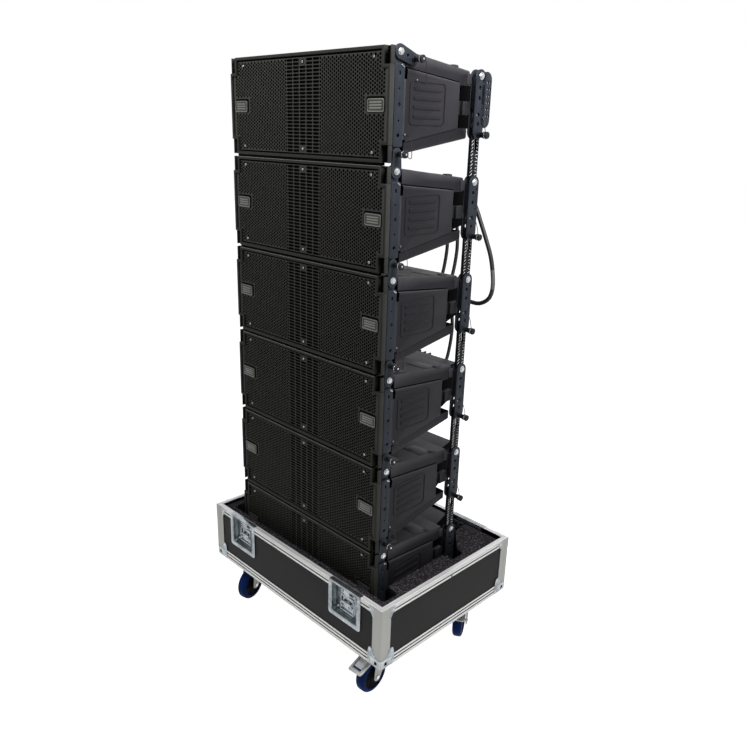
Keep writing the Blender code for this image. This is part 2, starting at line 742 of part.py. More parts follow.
def case_foam():
    """Foam pad and a foam wall cut to the lowest cabinet's outline, with its knob pockets."""
    low = FLOOR_TO_CASE + 0.0093
    half = (0.3585, 0.2468)
    right = [
        (0.333, -0.220), (0.333, -0.167), (0.2900, -0.167), (0.2880, 0.060), (0.3240, 0.062),
        (0.3240, 0.108), (0.2940, 0.118), (0.2280, 0.190), (0.2230, 0.238), (0.0920, 0.238),
        (0.0920, 0.222),
    ]  # fmt: skip
    recess = right + [(-x, y) for x, y in reversed(right)]
    seat = STACK_BOTTOM + SEAM / 2 - GAP
    wall = plate([rectangle(*half), recess], "Z", (seat - 0.002, FLOOR_TO_CASE + FOAM_TOP))
    pad = box((-half[0] + 0.001, half[0] - 0.001), (-half[1] + 0.001, half[1] - 0.001), (low, seat))
    return place("case_foam", finished(fuse(wall, pad)), "foam")


def latches():
    """A butterfly handle in each dish, turning about its hub."""
    handle = plate([capsule((-0.013, 0.0), (0.013, 0.0), 0.0090, 0.0090)], "Y", (-0.0020, 0.0020))
    hub = cone((0.0085, 0.0085), (0.0, 0.0060), (0.0, 0.0), 16)
    mesh = finished(fuse(handle, hub))
    for end_name, end in (("front", -1), ("rear", 1)):
        for side_name, side in (("left", -1), ("right", 1)):
            at = (side * LATCH_X, end * (CASE_HALF.y - 0.0080), FLOOR_TO_CASE + LATCH_Z)
            made = place(f"latch_{end_name}_{side_name}", mesh, "zinc", None, at)
            made.rotation_euler.z = 0.0 if end < 0 else math.pi


# ---------------------------------------------------------------- casters
def fork_mesh():
    """Swivel head, two legs and the axle. Drawn about the swivel axis, trailing towards +X."""
    top = FLOOR_TO_CASE - 0.0045 - GAP
    head = cone_up((0.0300, 0.0360), (top - 0.0100, top), (0.0, 0.0))
    inner = WHEEL_WIDTH / 2 + 0.0050
    bridge = box((-0.022, 0.036), (-inner - 0.003, inner + 0.003), (top - 0.0125, top - 0.0090))
    fork = fuse(head, bridge)
    low = [(TRAIL + x, WHEEL_RADIUS + z) for x, z in arc((0, 0), 0.012, -150, 10, 6)]
    leg = [*low, (0.038, top - 0.0100), (-0.024, top - 0.0100)]
    for side in (-1, 1):
        fuse(fork, plate([leg], "Y", sorted((side * inner, side * (inner + 0.003)))))
    fuse(fork, cone((0.0060, 0.0060), (-inner - 0.005, inner + 0.005), (TRAIL, WHEEL_RADIUS), 16))
    fuse(fork, cone((0.0025, 0.0025), (-inner - 0.001, inner + 0.001), PEDAL_PIVOT, 12))
    return finished(fork)


def cone_up(radii, z, centre, sides=20):
    """A cone along Z from radii[0] at z[0] to radii[1] at z[1], about centre (x, y)."""
    shape = bmesh.new()
    bmesh.ops.create_cone(
        shape, cap_ends=True, segments=sides, radius1=radii[0], radius2=radii[1], depth=z[1] - z[0]
    )
    bmesh.ops.translate(shape, vec=(*centre, sum(z) / 2), verts=shape.verts)
    return from_bmesh(shape)


def wheel_mesh():
    """A turned tyre and hub with a bore for the axle, about its own axis along Z."""
    half = WHEEL_WIDTH / 2
    profile = [
        (0.0068, half), (0.0068, -half), (0.0160, -half), (0.0190, -half + 0.004),
        (0.0370, -half + 0.004), (0.0400, -half + 0.001), (WHEEL_RADIUS, -half + 0.008),
        (WHEEL_RADIUS, half - 0.008), (0.0400, half - 0.001), (0.0370, half - 0.004),
        (0.0190, half - 0.004), (0.0160, half),
    ]  # fmt: skip
    shape = bmesh.new()
    corners = [shape.verts.new((r, 0.0, z)) for r, z in reversed(profile)]
    for start, end in zip(corners, corners[1:] + corners[:1]):
        shape.edges.new((start, end))
    turned = from_bmesh(shape)
    step = turned.modifiers.new("turned", "SCREW")
    step.steps = 20
    step.render_steps = 20
    step.use_merge_vertices = True
    step.merge_threshold = 0.0001
    turned.data = evaluated_mesh(turned)
    turned.modifiers.clear()
    shape = bmesh.new()
    shape.from_mesh(turned.data)
    bmesh.ops.remove_doubles(shape, verts=shape.verts, dist=1e-5)
    bmesh.ops.recalc_face_normals(shape, faces=shape.faces)
    bmesh.ops.rotate(
        shape, cent=(0, 0, 0), matrix=Matrix.Rotation(math.pi / 2, 3, "X"), verts=shape.verts
    )
    shape.to_mesh(turned.data)
    shape.free()
    return finished(turned)


def pedal_mesh():
    """The pressed brake pedal: two ears on the pivot and a plate that reaches out over the wheel."""
    ear_half = WHEEL_WIDTH / 2 + 0.0030
    ear = [
        *arc(PEDAL_PIVOT, 0.0060, 118, 260, 5),
        (0.050, 0.1035), (0.092, 0.0890), (0.094, 0.0965), (0.0500, 0.1125),
    ]  # fmt: skip
    pedal = None
    for side in (-1, 1):
        cheek = plate([ear], "Y", sorted((side * (ear_half - 0.0015), side * ear_half)))
        cut(cheek, cone((0.0031, 0.0031), (-0.03, 0.03), PEDAL_PIVOT, 12))
        pedal = fuse(pedal, cheek) if pedal else cheek
    tread = box(TREAD_X, (-0.0225, 0.0225), (0.0, 0.0022))
    tilted(tread, PEDAL_SLOPE, TREAD_X[0], 0.1140)
    return finished(fuse(pedal, tread))


def tilted(obj, angle, edge_x, height):
    """Turns the solid down about its edge at x = edge_x and lifts that edge to a height."""
    shape = bmesh.new()
    shape.from_mesh(obj.data)
    turn = Matrix.Rotation(angle, 3, "Y")
    bmesh.ops.rotate(shape, cent=(edge_x, 0, 0), matrix=turn, verts=shape.verts)
    bmesh.ops.translate(shape, vec=(0, 0, height), verts=shape.verts)
    shape.to_mesh(obj.data)
    shape.free()


def casters():
    fork, wheel, pedal = fork_mesh(), wheel_mesh(), pedal_mesh()
    for corner, heading in HEADINGS.items():
        end, side = corner.split("_")
        at = (
            SWIVEL.x * (1 if side == "right" else -1),
            SWIVEL.y * (1 if end == "rear" else -1),
            0.0,
        )
        swivel = joint_empty(f"swivel_{corner}", at, None, math.radians(heading))
        place(f"caster_fork_{corner}", fork, "zinc", swivel)
        place(f"caster_wheel_{corner}", wheel, "blue_tyre", swivel, (TRAIL, 0, WHEEL_RADIUS))
        if side == "right":
            place(f"brake_pedal_{corner}", pedal, "zinc", swivel)


# ---------------------------------------------------------------- the tower
empty_scene()
PARTS = collection("line_array_tower")
WORKBENCH = collection("workbench")
case_tray()
case_top_trim()
case_bottom_trim()
case_foam()
latches()
casters()
jumper_cables(cabinets())
bpy.data.collections.remove(WORKBENCH)
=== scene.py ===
"""Looks of the line array tower: six cabinets pinned in a column on their wheeled case base.

Metres, +Z up. A cabinet's pieces are drawn in the cabinet's own frame: x from its middle, y from
its front plane towards the rear, z from its top plane, so its inside is at negative z. Right-hand
pieces are drawn at positive x and mirrored for the left.
"""

import math

import bmesh
import bpy
from mathutils import Matrix, Vector, noise


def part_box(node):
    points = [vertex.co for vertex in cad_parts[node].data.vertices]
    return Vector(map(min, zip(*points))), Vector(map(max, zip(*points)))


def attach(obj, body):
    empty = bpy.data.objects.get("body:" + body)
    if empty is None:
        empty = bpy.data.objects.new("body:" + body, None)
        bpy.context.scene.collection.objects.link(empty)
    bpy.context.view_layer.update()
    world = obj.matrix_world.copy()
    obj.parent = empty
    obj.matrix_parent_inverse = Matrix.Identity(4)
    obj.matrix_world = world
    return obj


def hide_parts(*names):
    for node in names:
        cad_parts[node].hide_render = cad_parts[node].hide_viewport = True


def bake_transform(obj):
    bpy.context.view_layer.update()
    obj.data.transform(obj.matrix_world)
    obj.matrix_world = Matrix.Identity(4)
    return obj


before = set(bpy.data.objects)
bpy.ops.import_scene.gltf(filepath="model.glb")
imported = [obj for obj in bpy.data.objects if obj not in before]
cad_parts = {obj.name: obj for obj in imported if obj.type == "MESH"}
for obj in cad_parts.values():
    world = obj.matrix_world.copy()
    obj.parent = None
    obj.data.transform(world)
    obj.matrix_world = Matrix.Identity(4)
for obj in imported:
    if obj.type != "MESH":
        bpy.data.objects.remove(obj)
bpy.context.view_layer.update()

# ---------------------------------------------------------------- sizes shared with the CAD
CABINETS = range(1, 7)
SEAM = 0.006
PITCH = 0.24
HALF_WIDTH = 0.29
NOTCH = (0.02, 0.037)
HOUSING_FRONT = 0.0163
SHOULDER_Y = 0.285
TAIL_Y = 0.388
SIDE_HALF = 0.2835
SIDE_TAPER = 0.04
SHELF_SLOPE = 0.106
PANEL_SLOPE = 0.092
PANEL_PROUD = 0.005
PANEL_Y = (0.047, 0.243)
POCKET_Y = 0.2465
STRIP_X = (0.284, 0.2888)
STRIP_Y = (0.0165, 0.0455)
STRIP_Z = (-0.2035, -0.0365)
LUG_X = (0.271, 0.2832)
FRONT_PIN = (0.031, -0.218)
FRONT_BOLT = (0.031, -0.014)
REAR_PIN = (0.307, -0.174)
RAIL_X = (0.268, 0.288)
RAIL_Y = (0.289, 0.325)
RAIL_Z = (-0.184, -0.028)
RAIL_ROUND = 0.018
LINK_X = (0.274, 0.282)
STOWED_X = (0.283, 0.288)
TIE_Z = (-0.13, -0.1)
UPPER_SOCKET = 0.09
LOWER_SOCKET = 0.128
SOCKET_X = (0.095, 0.131, 0.158)
SOCKET_FACE = TAIL_Y + 0.0103
GAP = 0.0003
PIN_HOLE = 0.0046
BOLT_HEAD = 0.0066
WIRE = 0.0009
RIVET = 0.0034

CASE_X, CASE_Y = 0.3705, 0.264
CASE_LOW = 0.14
DRAWN_LOW, DRAWN_TOP = 0.15, 0.327  # the case is drawn at these heights, then set down
LATCH_X, LATCH_Z = 0.231, 0.258
SWIVEL = (0.284, 0.177)
TRAIL = 0.035
WHEEL_RADIUS = 0.05
PEDAL_PIVOT = (0.018, 0.115)
PEDAL_SLOPE = math.radians(20)
TREAD_EDGE = (0.044, 0.114)
HEADINGS = {"front_left": -75, "front_right": -86, "rear_left": -105, "rear_right": -60}


def cabinet_origin(number):
    low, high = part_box(f"front_baffle_{number}")
    return Vector((0.0, low[1], high[2] + SEAM / 2))


def body_of_cabinet(number):
    return f"cabinet_{number}"


def new_object(name, data):
    made = bpy.data.objects.new(name, data)
    bpy.context.scene.collection.objects.link(made)
    return made


# ---------------------------------------------------------------- camera
def camera():
    azimuth, pitch, roll = math.radians(45.21), math.radians(18.32), math.radians(1.59)
    forward = Vector(
        (-math.sin(azimuth) * math.cos(pitch), math.cos(azimuth) * math.cos(pitch), -math.sin(pitch))
    )
    level = Vector((math.cos(azimuth), math.sin(azimuth), 0.0))
    upright = level.cross(forward)
    right = math.cos(roll) * level + math.sin(roll) * upright
    up = -math.sin(roll) * level + math.cos(roll) * upright
    data = bpy.data.cameras.new("photograph")
    data.lens = 34.9
    data.sensor_width = 36.0
    made = new_object("photograph", data)
    turn = Matrix((right, up, -forward)).transposed().to_4x4()
    made.matrix_world = Matrix.Translation((1.4166, -1.358, 1.441)) @ turn
    bpy.context.scene.camera = made


camera()


# ---------------------------------------------------------------- materials
def linear(*channels):
    """Linear colour from 0-255 display values."""
    return tuple((c / 255 / 12.92) if c <= 10 else ((c / 255 + 0.055) / 1.055) ** 2.4 for c in channels)


def surface(
    name, colour, roughness, metallic=0.0, *, vary=0.25, mottle=9.0, grain=600.0, bump=0.25,
    depth=0.0004, stretch=(1, 1, 1), edge_wear_and_highlight=None, speckle=None, specular=0.5,
):
    """A finish with mottled colour, fine grain, uneven gloss and, optionally, lighter edges: edge wear, and
    on the moulded plastic also a painted highlight along its edges.
    """
    made = bpy.data.materials.new(name)
    made.use_nodes = True
    nodes, links = made.node_tree.nodes, made.node_tree.links
    shader = nodes["Principled BSDF"]
    shader.inputs["Metallic"].default_value = metallic
    shader.inputs["Specular IOR Level"].default_value = specular

    def node(kind, **values):
        new = nodes.new(kind)
        for key, value in values.items():
            if key in new.inputs:
                new.inputs[key].default_value = value
            else:
                setattr(new, key, value)
        return new

    def ranged(source, kind, low, high, output="Fac"):
        new = node("ShaderNodeMapRange", **{f"{kind} Min": low, f"{kind} Max": high})
        links.new(source.outputs[output], new.inputs["Value"])
        return new.outputs["Result"]

    def over(factor, below, above):
        new = node("ShaderNodeMix", data_type="RGBA")
        links.new(factor, new.inputs[0])
        links.new(below, new.inputs[6])
        new.inputs[7].default_value = (*above, 1.0)
        return new.outputs[2]

    coordinates = node("ShaderNodeTexCoord")
    which = node("ShaderNodeObjectInfo")
    spread = node("ShaderNodeMath", operation="MULTIPLY")
    spread.inputs[1].default_value = 7.0
    links.new(which.outputs["Random"], spread.inputs[0])
    place = node("ShaderNodeMapping", Scale=stretch)
    links.new(coordinates.outputs["Object"], place.inputs["Vector"])
    links.new(spread.outputs[0], place.inputs["Location"])

    cloudy = node("ShaderNodeTexNoise", Scale=mottle, Detail=6.0, Roughness=0.6)
    fine = node("ShaderNodeTexNoise", Scale=grain, Detail=3.0, Roughness=0.55)
    for texture in (cloudy, fine):
        links.new(place.outputs["Vector"], texture.inputs["Vector"])

    ramp = node("ShaderNodeValToRGB")
    dark, light = ramp.color_ramp.elements
    dark.position, light.position = 0.3, 0.7
    dark.color = (*[c * (1 - vary) for c in colour], 1.0)
    light.color = (*[min(1.0, c * (1 + vary)) for c in colour], 1.0)
    links.new(cloudy.outputs["Fac"], ramp.inputs["Fac"])
    tint = ramp.outputs["Color"]

    if speckle:
        tint = over(ranged(fine, "From", 0.5, 0.72), tint, speckle)

    # lighter sharp edges: edge wear, and on the moulded plastic a painted highlight where its edges catch the
    # light
    if edge_wear_and_highlight:
        edges = ranged(node("ShaderNodeNewGeometry"), "From", 0.53, 0.64, "Pointiness")
        lighter_edges = node("ShaderNodeMath", operation="MULTIPLY")
        links.new(edges, lighter_edges.inputs[0])
        links.new(cloudy.outputs["Fac"], lighter_edges.inputs[1])
        tint = over(lighter_edges.outputs[0], tint, edge_wear_and_highlight)
    links.new(tint, shader.inputs["Base Color"])

    gloss = ranged(cloudy, "To", max(0.05, roughness - 0.1), min(1.0, roughness + 0.1))
    links.new(gloss, shader.inputs["Roughness"])

    relief = node("ShaderNodeBump", Strength=bump, Distance=depth)
    links.new(fine.outputs["Fac"], relief.inputs["Height"])
    links.new(relief.outputs["Normal"], shader.inputs["Normal"])
    return made


def ribbed(made, scale, direction, bump=0.6, depth=0.0006):
    """Fine parallel ridges over a finish, such as those rolled into an extrusion."""
    nodes, links = made.node_tree.nodes, made.node_tree.links
    coordinates = next(n for n in nodes if n.bl_idname == "ShaderNodeTexCoord")
    waves = nodes.new("ShaderNodeTexWave")
    waves.bands_direction = direction
    waves.inputs["Scale"].default_value = scale
    waves.inputs["Distortion"].default_value = 0.0
    relief = nodes.new("ShaderNodeBump")
    relief.inputs["Strength"].default_value = bump
    relief.inputs["Distance"].default_value = depth
    shader = nodes["Principled BSDF"]
    before = shader.inputs["Normal"].links[0].from_socket
    links.new(coordinates.outputs["Object"], waves.inputs["Vector"])
    links.new(waves.outputs["Fac"], relief.inputs["Height"])
    links.new(before, relief.inputs["Normal"])
    links.new(relief.outputs["Normal"], shader.inputs["Normal"])
    return made


FINISH = {
    # the plastic's lighter edges are partly edge wear and partly a painted highlight along its bevels
    "plastic": surface("moulded_polypropylene", (0.017, 0.0158, 0.02), 0.5, vary=0.14,
                       grain=1400, bump=0.3, specular=0.12, edge_wear_and_highlight=(0.16, 0.155, 0.17)),
    # near-black painted shade for the housing's cut faces and the tail's sides
    "pocket_shade": surface("shadowed_polypropylene", (0.0012, 0.0012, 0.0013), 0.95, bump=0.2,
                      specular=0.02),
    "frame": surface("front_frame_paint", (0.026, 0.027, 0.024), 0.55, vary=0.12, grain=900,
                     bump=0.25, specular=0.12, edge_wear_and_highlight=(0.1, 0.1, 0.095)),
    "frame_edge": surface("pale_frame_edge_line", linear(112, 110, 101), 0.45, vary=0.2, mottle=40, bump=0.2,
                          specular=0.3),
    "black": surface("baffle_black", (0.002, 0.002, 0.002), 0.95, grain=500, bump=0.3,
                     specular=0.05),
    "grille": surface("grille_powder_coat", (0.046, 0.046, 0.0425), 0.52, 0.0, vary=0.1,
                      grain=1500, bump=0.35, specular=0.1, edge_wear_and_highlight=(0.14, 0.14, 0.13)),
    "badge": surface("satin_badge", linear(118, 119, 114), 0.36, 0.6, vary=0.12, bump=0.1),
    "badge_field": surface("badge_field", linear(66, 67, 63), 0.45, 0.5, vary=0.15, bump=0.2, specular=0.2),
    "rigging": surface("rigging_steel", (0.028, 0.033, 0.044), 0.42, 0.3, specular=0.15, grain=700,
                       bump=0.3, edge_wear_and_highlight=(0.16, 0.17, 0.19)),
    "rigging_black": surface("rigging_black", (0.008, 0.009, 0.011), 0.48, 0.1, specular=0.15,
                             bump=0.3, edge_wear_and_highlight=(0.1, 0.1, 0.11)),
    "steel": surface("bright_steel", (0.62, 0.63, 0.64), 0.24, 1.0, vary=0.15, mottle=60, bump=0.12),
    "wire": surface("lanyard_wire", (0.03, 0.03, 0.034), 0.35, 0.5, vary=0.2, mottle=80),
    "marking": surface("marking_paint", (0.8, 0.8, 0.8), 0.6, mottle=150),
    "amplifier": surface("amplifier_black", (0.012, 0.012, 0.014), 0.42, 0.2, specular=0.2, vary=0.2),
    "socket": surface("socket_plastic", (0.01, 0.01, 0.011), 0.38, vary=0.2, bump=0.1),
    "cable": surface("cable_rubber", (0.013, 0.013, 0.014), 0.5, grain=900, bump=0.2),
    "sleeve": surface("cable_sleeve", (0.16, 0.16, 0.165), 0.55, vary=0.12, grain=500, bump=0.3),
    "laminate": surface("charcoal_laminate", (0.017, 0.017, 0.0175), 0.5, vary=0.2, mottle=22,
                        grain=420, bump=0.45, depth=0.0006, specular=0.1),
    "aluminium": surface("anodised_aluminium", (0.98, 0.98, 0.955), 0.3, 0.3, vary=0.04,
                         grain=300, stretch=(1, 1, 6), bump=0.12),
    "groove": surface("groove_shadow", (0.03, 0.03, 0.03), 0.6, 0.3, vary=0.2, bump=0.2, specular=0.2),
    "tongue": ribbed(surface("ribbed_aluminium", (0.96, 0.95, 1.0), 0.36, 0.15, vary=0.05),
                     60.0, "Y"),
    "angle": surface("matt_aluminium", (0.46, 0.46, 0.44), 0.55, 0.55, vary=0.06, grain=260,
                     stretch=(6, 6, 0.6), bump=0.15),
    "zinc": surface("zinc_plate", (0.31, 0.34, 0.36), 0.22, 0.9, vary=0.42, mottle=38, grain=240,
                    bump=0.16, edge_wear_and_highlight=(0.8, 0.81, 0.82)),
    "zinc_dull": surface("pressed_zinc", (0.33, 0.32, 0.3), 0.4, 0.75, vary=0.18, mottle=45,
                         grain=300, bump=0.18, edge_wear_and_highlight=(0.6, 0.6, 0.58)),
    "pedal_pad": surface("pedal_pad", (0.93, 0.94, 0.95), 0.45, vary=0.1, mottle=60, bump=0.2),
    "foam": surface("charcoal_foam", (0.029, 0.0265, 0.0305), 1.0, mottle=14, grain=240,
                    bump=1.0, depth=0.002, speckle=(0.19, 0.175, 0.195), specular=0.02),
    "tyre": surface("blue_tyre", (0.008, 0.033, 0.17), 0.5, vary=0.22, grain=500, bump=0.2,
                    specular=0.06, edge_wear_and_highlight=(0.022, 0.065, 0.23)),
    "hub": surface("wheel_hub", (0.002, 0.003, 0.007), 0.7, vary=0.2, bump=0.3, specular=0.05),
}


# ---------------------------------------------------------------- shapes
def evaluated(obj):
    bpy.context.view_layer.update()
    mesh = bpy.data.meshes.new_from_object(obj.evaluated_get(bpy.context.evaluated_depsgraph_get()))
    bpy.data.objects.remove(obj)
    shape = bmesh.new()
    shape.from_mesh(mesh)
    bpy.data.meshes.remove(mesh)
    return shape


def moved(shape, at=(0, 0, 0), turn=None):
    matrix = Matrix.Translation(at) @ (turn.to_4x4() if turn else Matrix.Identity(4))
    bmesh.ops.transform(shape, matrix=matrix, verts=shape.verts)
    return shape


def soften(shape, width, segments=2):
    if width:
        bmesh.ops.bevel(
            shape, geom=list(shape.edges), offset=width, segments=segments, profile=0.5,
            affect="EDGES", clamp_overlap=True,
        )
    return shape


def block(x, y, z, bevel=0.0008, segments=2):
    """A box between the two values of each axis, with rounded edges."""
    shape = bmesh.new()
    bmesh.ops.create_cube(shape, size=1.0)
    size = [abs(span[1] - span[0]) for span in (x, y, z)]
    bmesh.ops.scale(shape, vec=size, verts=shape.verts)
    moved(shape, [sum(span) / 2 for span in (x, y, z)])
    return soften(shape, bevel, segments)


def wedge(y, front, rear, bevel=0.0, segments=3):
    """A block that tapers along Y. Each end is its half width, its lowest and its highest z."""
    shape = bmesh.new()
    bmesh.ops.create_cube(shape, size=2.0)
    for corner in shape.verts:
        half, low, high = rear if corner.co.y > 0 else front
        corner.co = (corner.co.x * half, y[corner.co.y > 0], high if corner.co.z > 0 else low)
    return soften(shape, bevel, segments)


TURNS = {  # a flat outline's (x, y) becomes (y, z), (x, z) or (x, y)
    "X": Matrix(((0, 0, 1), (1, 0, 0), (0, 1, 0))),
    "Y": Matrix(((1, 0, 0), (0, 0, -1), (0, 1, 0))),
    "Z": Matrix.Identity(3),
}
AXES = {**TURNS, "Y": Matrix(((1, 0, 0), (0, 0, 1), (0, -1, 0)))}  # a turned piece's z becomes the axis


def prism(outlines, along, span, bevel=0.0006, resolution=1):
    """A flat piece with an outer outline, and holes, and softened edges, as thick as span."""
    thickness = abs(span[1] - span[0])
    bevel = min(bevel, thickness * 0.45)
    curve = bpy.data.curves.new("outline", "CURVE")
    curve.dimensions = "2D"
    curve.fill_mode = "BOTH"
    curve.extrude = thickness / 2 - bevel
    curve.bevel_depth = bevel
    curve.bevel_resolution = resolution
    curve.offset = -bevel
    for outline in outlines:
        spline = curve.splines.new("POLY")
        spline.points.add(len(outline) - 1)
        for point, place in zip(spline.points, outline):
            point.co = (*place, 0.0, 1.0)
        spline.use_cyclic_u = True
    shape = evaluated(new_object("outline", curve))
    bmesh.ops.remove_doubles(shape, verts=shape.verts, dist=1e-6)
    shift = [0.0, 0.0, 0.0]
    shift["XYZ".index(along)] = sum(span) / 2
    moved(shape, turn=TURNS[along])
    return moved(shape, shift)


def skin(shape, rings, around=False, capped=False):
    """Joins rings of points with faces, closes them on themselves or at both ends, and faces them out."""
    count = len(rings[0])
    faces = []
    for low, high in zip(rings, rings[1:] + (rings[:1] if around else [])):
        for k in range(count):
            corners = dict.fromkeys((low[k], low[(k + 1) % count], high[(k + 1) % count], high[k]))
            if len(corners) > 2:
                faces.append(shape.faces.new(list(corners)))
    for ring in (rings[0], rings[-1]) if capped else ():
        if len(set(ring)) > 2:
            shape.faces.new(ring)
    bmesh.ops.recalc_face_normals(shape, faces=shape.faces)
    return faces


def turned(profile, along, at, steps=24):
    """A turned piece. The profile is (radius, height) pairs from its bottom up, along an axis."""
    shape = bmesh.new()
    rings = []
    for radius, height in profile:
        if radius < 1e-6:
            rings.append([shape.verts.new((0, 0, height))] * steps)
        else:
            rings.append([shape.verts.new((*point, height)) for point in circle((0, 0), radius, steps)])
    skin(shape, rings, capped=True)
    return moved(moved(shape, turn=AXES[along]), at)


def tube(points, radius, sides=12):
    """A round tube through the points."""
    places = [Vector(p) for p in points]
    shape = bmesh.new()
    rings = []
    across = None
    for k, place in enumerate(places):
        ahead = (places[min(k + 1, len(places) - 1)] - places[max(k - 1, 0)]).normalized()
        if across is None:
            across = ahead.orthogonal().normalized()
        across = (across - ahead * across.dot(ahead)).normalized()
        other = ahead.cross(across)
        ways = [x * across + y * other for x, y in circle((0, 0), 1.0, sides)]
        rings.append([shape.verts.new(place + radius * way) for way in ways])
    skin(shape, rings, capped=True)
    return shape


def hoop(radius, wire, along, at, steps=28, sides=8):
    """A closed ring of round wire about an axis."""
    shape = bmesh.new()
    rings = [
        [
            shape.verts.new((reach * math.cos(a), reach * math.sin(a), height))
            for reach, height in circle((radius, 0), wire, sides)
        ]
        for a in (2 * math.pi * k / steps for k in range(steps))
    ]
    skin(shape, rings, around=True)
    return moved(moved(shape, turn=TURNS[along]), at)


def combine(base, tool, operation):
    """An exact Boolean of two shapes. Faces keep their material numbers."""
    meshes = []
    for shape in (base, tool):
        mesh = bpy.data.meshes.new("step")
        for name in ("a", "b"):
            mesh.materials.append(bpy.data.materials.get(name) or bpy.data.materials.new(name))
        shape.to_mesh(mesh)
        shape.free()
        meshes.append(new_object("step", mesh))
    step = meshes[0].modifiers.new("step", "BOOLEAN")
    step.operation = operation
    step.object = meshes[1]
    result = evaluated(meshes[0])
    bpy.data.objects.remove(meshes[1])
    return result


def cut(base, *tools, shade_slot=0):
    # the faces each tool cuts take this finish number; the housing passes 1 for painted shade
    for tool in tools:
        for face in tool.faces:
            face.material_index = shade_slot
        base = combine(base, tool, "DIFFERENCE")
    return base


def fuse(base, *tools):
    for tool in tools:
        base = combine(base, tool, "UNION")
    return base


def arc(centre, radius, start, stop, steps):
    angles = [math.radians(start + (stop - start) * k / steps) for k in range(steps + 1)]
    return [(centre[0] + radius * math.cos(a), centre[1] + radius * math.sin(a)) for a in angles]


def circle(centre, radius, steps=16):
    return arc(centre, radius, 0, 360 * (steps - 1) / steps, steps - 1)


def capsule(first, second, radius_first, radius_second, steps=10):
    """The outline of a link with a round end about each of two holes."""
    heading = math.degrees(math.atan2(second[1] - first[1], second[0] - first[0]))
    return arc(first, radius_first, heading + 90, heading + 270, steps) + arc(
        second, radius_second, heading - 90, heading + 90, steps
    )


def rounded_rectangle(x, y, radius, steps=4):
    """An outline between two values of each axis, with round corners."""
    points = []
    for cx, cy, start in (
        (x[1] - radius, y[0] + radius, -90),
        (x[1] - radius, y[1] - radius, 0),
        (x[0] + radius, y[1] - radius, 90),
        (x[0] + radius, y[0] + radius, 180),
    ):
        points += arc((cx, cy), radius, start, start + 90, steps)
    return points


class Piece:
    """Gathers shapes into one mesh, each with its own finish."""

    def __init__(self):
        self.shape = bmesh.new()
        self.finishes = []

    def add(self, shape, *finishes, both=False):
        """Takes a shape. Its faces' material numbers pick from the finishes. both adds its mirror."""
        slots = []
        for name in finishes:
            if name not in self.finishes:
                self.finishes.append(name)
            slots.append(self.finishes.index(name))
        for face in shape.faces:
            face.material_index = slots[min(face.material_index, len(slots) - 1)]
        mesh = bpy.data.meshes.new("part")
        shape.to_mesh(mesh)
        self.shape.from_mesh(mesh)
        if both:
            bmesh.ops.scale(shape, vec=(-1, 1, 1), verts=shape.verts)
            bmesh.ops.reverse_faces(shape, faces=shape.faces)
            shape.to_mesh(mesh)
            self.shape.from_mesh(mesh)
        shape.free()
        bpy.data.meshes.remove(mesh)
        return self

    def mesh(self, mirrored=False, smooth=32):
        """The finished mesh. The piece can be read again for its mirror."""
        source = self.shape.copy()
        if mirrored:
            bmesh.ops.scale(source, vec=(-1, 1, 1), verts=source.verts)
            bmesh.ops.reverse_faces(source, faces=source.faces)
        made = bpy.data.meshes.new("piece")
        source.to_mesh(made)
        source.free()
        for name in self.finishes:
            made.materials.append(FINISH[name])
        made.shade_smooth()
        made.set_sharp_from_angle(angle=math.radians(smooth))
        return made


def show(name, mesh, body, replaced=(), at=(0, 0, 0), heading=0.0):
    """Puts a mesh in the scene as a named piece that rides on a body."""
    made = new_object(name, mesh)
    made.location = at
    made.rotation_euler.z = heading
    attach(made, body)
    if replaced:
        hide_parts(*replaced)
    return made


# ---------------------------------------------------------------- cables, which come first
def smooth_route(points, spacing):
    """Points at an even spacing along the smooth curve through the route's own points."""
    places = [Vector(p) for p in points]
    places = [2 * places[0] - places[1], *places, 2 * places[-1] - places[-2]]
    dense, samples = [], 20
    for before, start, end, after in zip(places, places[1:], places[2:], places[3:]):
        for k in range(samples):
            t = k / samples
            dense.append(
                0.5
                * (
                    2 * start
                    + (end - before) * t
                    + (2 * before - 5 * start + 4 * end - after) * t**2
                    + (3 * start - before - 3 * end + after) * t**3
                )
            )
    dense.append(places[-2])
    lengths = [(b - a).length for a, b in zip(dense, dense[1:])]
    count = max(2, round(sum(lengths) / spacing))
    step = sum(lengths) / count
    route, walked, goal = [dense[0]], 0.0, step
    for a, b, length in zip(dense, dense[1:], lengths):
        while length and walked + length >= goal and len(route) < count:
            route.append(a.lerp(b, (goal - walked) / length))
            goal += step
        walked += length
    route.append(dense[-1])
    return route


def plug(cable_radius, reach):
    """A plug seen from its socket at the origin, pointing to +Y, with a tapered strain relief."""
    made = Piece()
    shell = [(0.0, -0.0045), (0.0094, -0.0045), (0.0094, 0.004), (0.0088, 0.005), (0.0088, 0.012),
             (0.0, 0.012)]
    made.add(turned(shell[::-1], "Y", (0, 0, 0)), "socket")
    for k in range(12):
        a = 2 * math.pi * k / 12
        rib = block((-0.0007, 0.0007), (0.0005, 0.0115), (-0.0006, 0.0006), 0.0003, 1)
        moved(rib, (0.0093 * math.cos(a), 0, 0.0093 * math.sin(a)), Matrix.Rotation(-a, 3, "Y"))
        made.add(rib, "socket")
    made.add(hoop(0.0092, 0.0007, "Y", (0, 0.0125, 0)), "steel")
    steps = 9
    relief = []
    for k in range(steps):
        start = 0.012 + (reach - 0.012) * k / steps
        end = 0.012 + (reach - 0.012) * (k + 1) / steps
        radius = 0.0083 + (cable_radius + 0.0008 - 0.0083) * k / (steps - 1)
        relief += [(radius, start), (radius, start + 0.72 * (end - start)),
                   (radius - 0.0006, start + 0.76 * (end - start)), (radius - 0.0006, end)]
    relief = [(0.0, 0.0118), *relief, (0.0, reach)]
    made.add(turned(relief, "Y", (0, 0, 0), 20), "cable")
    return made.mesh()


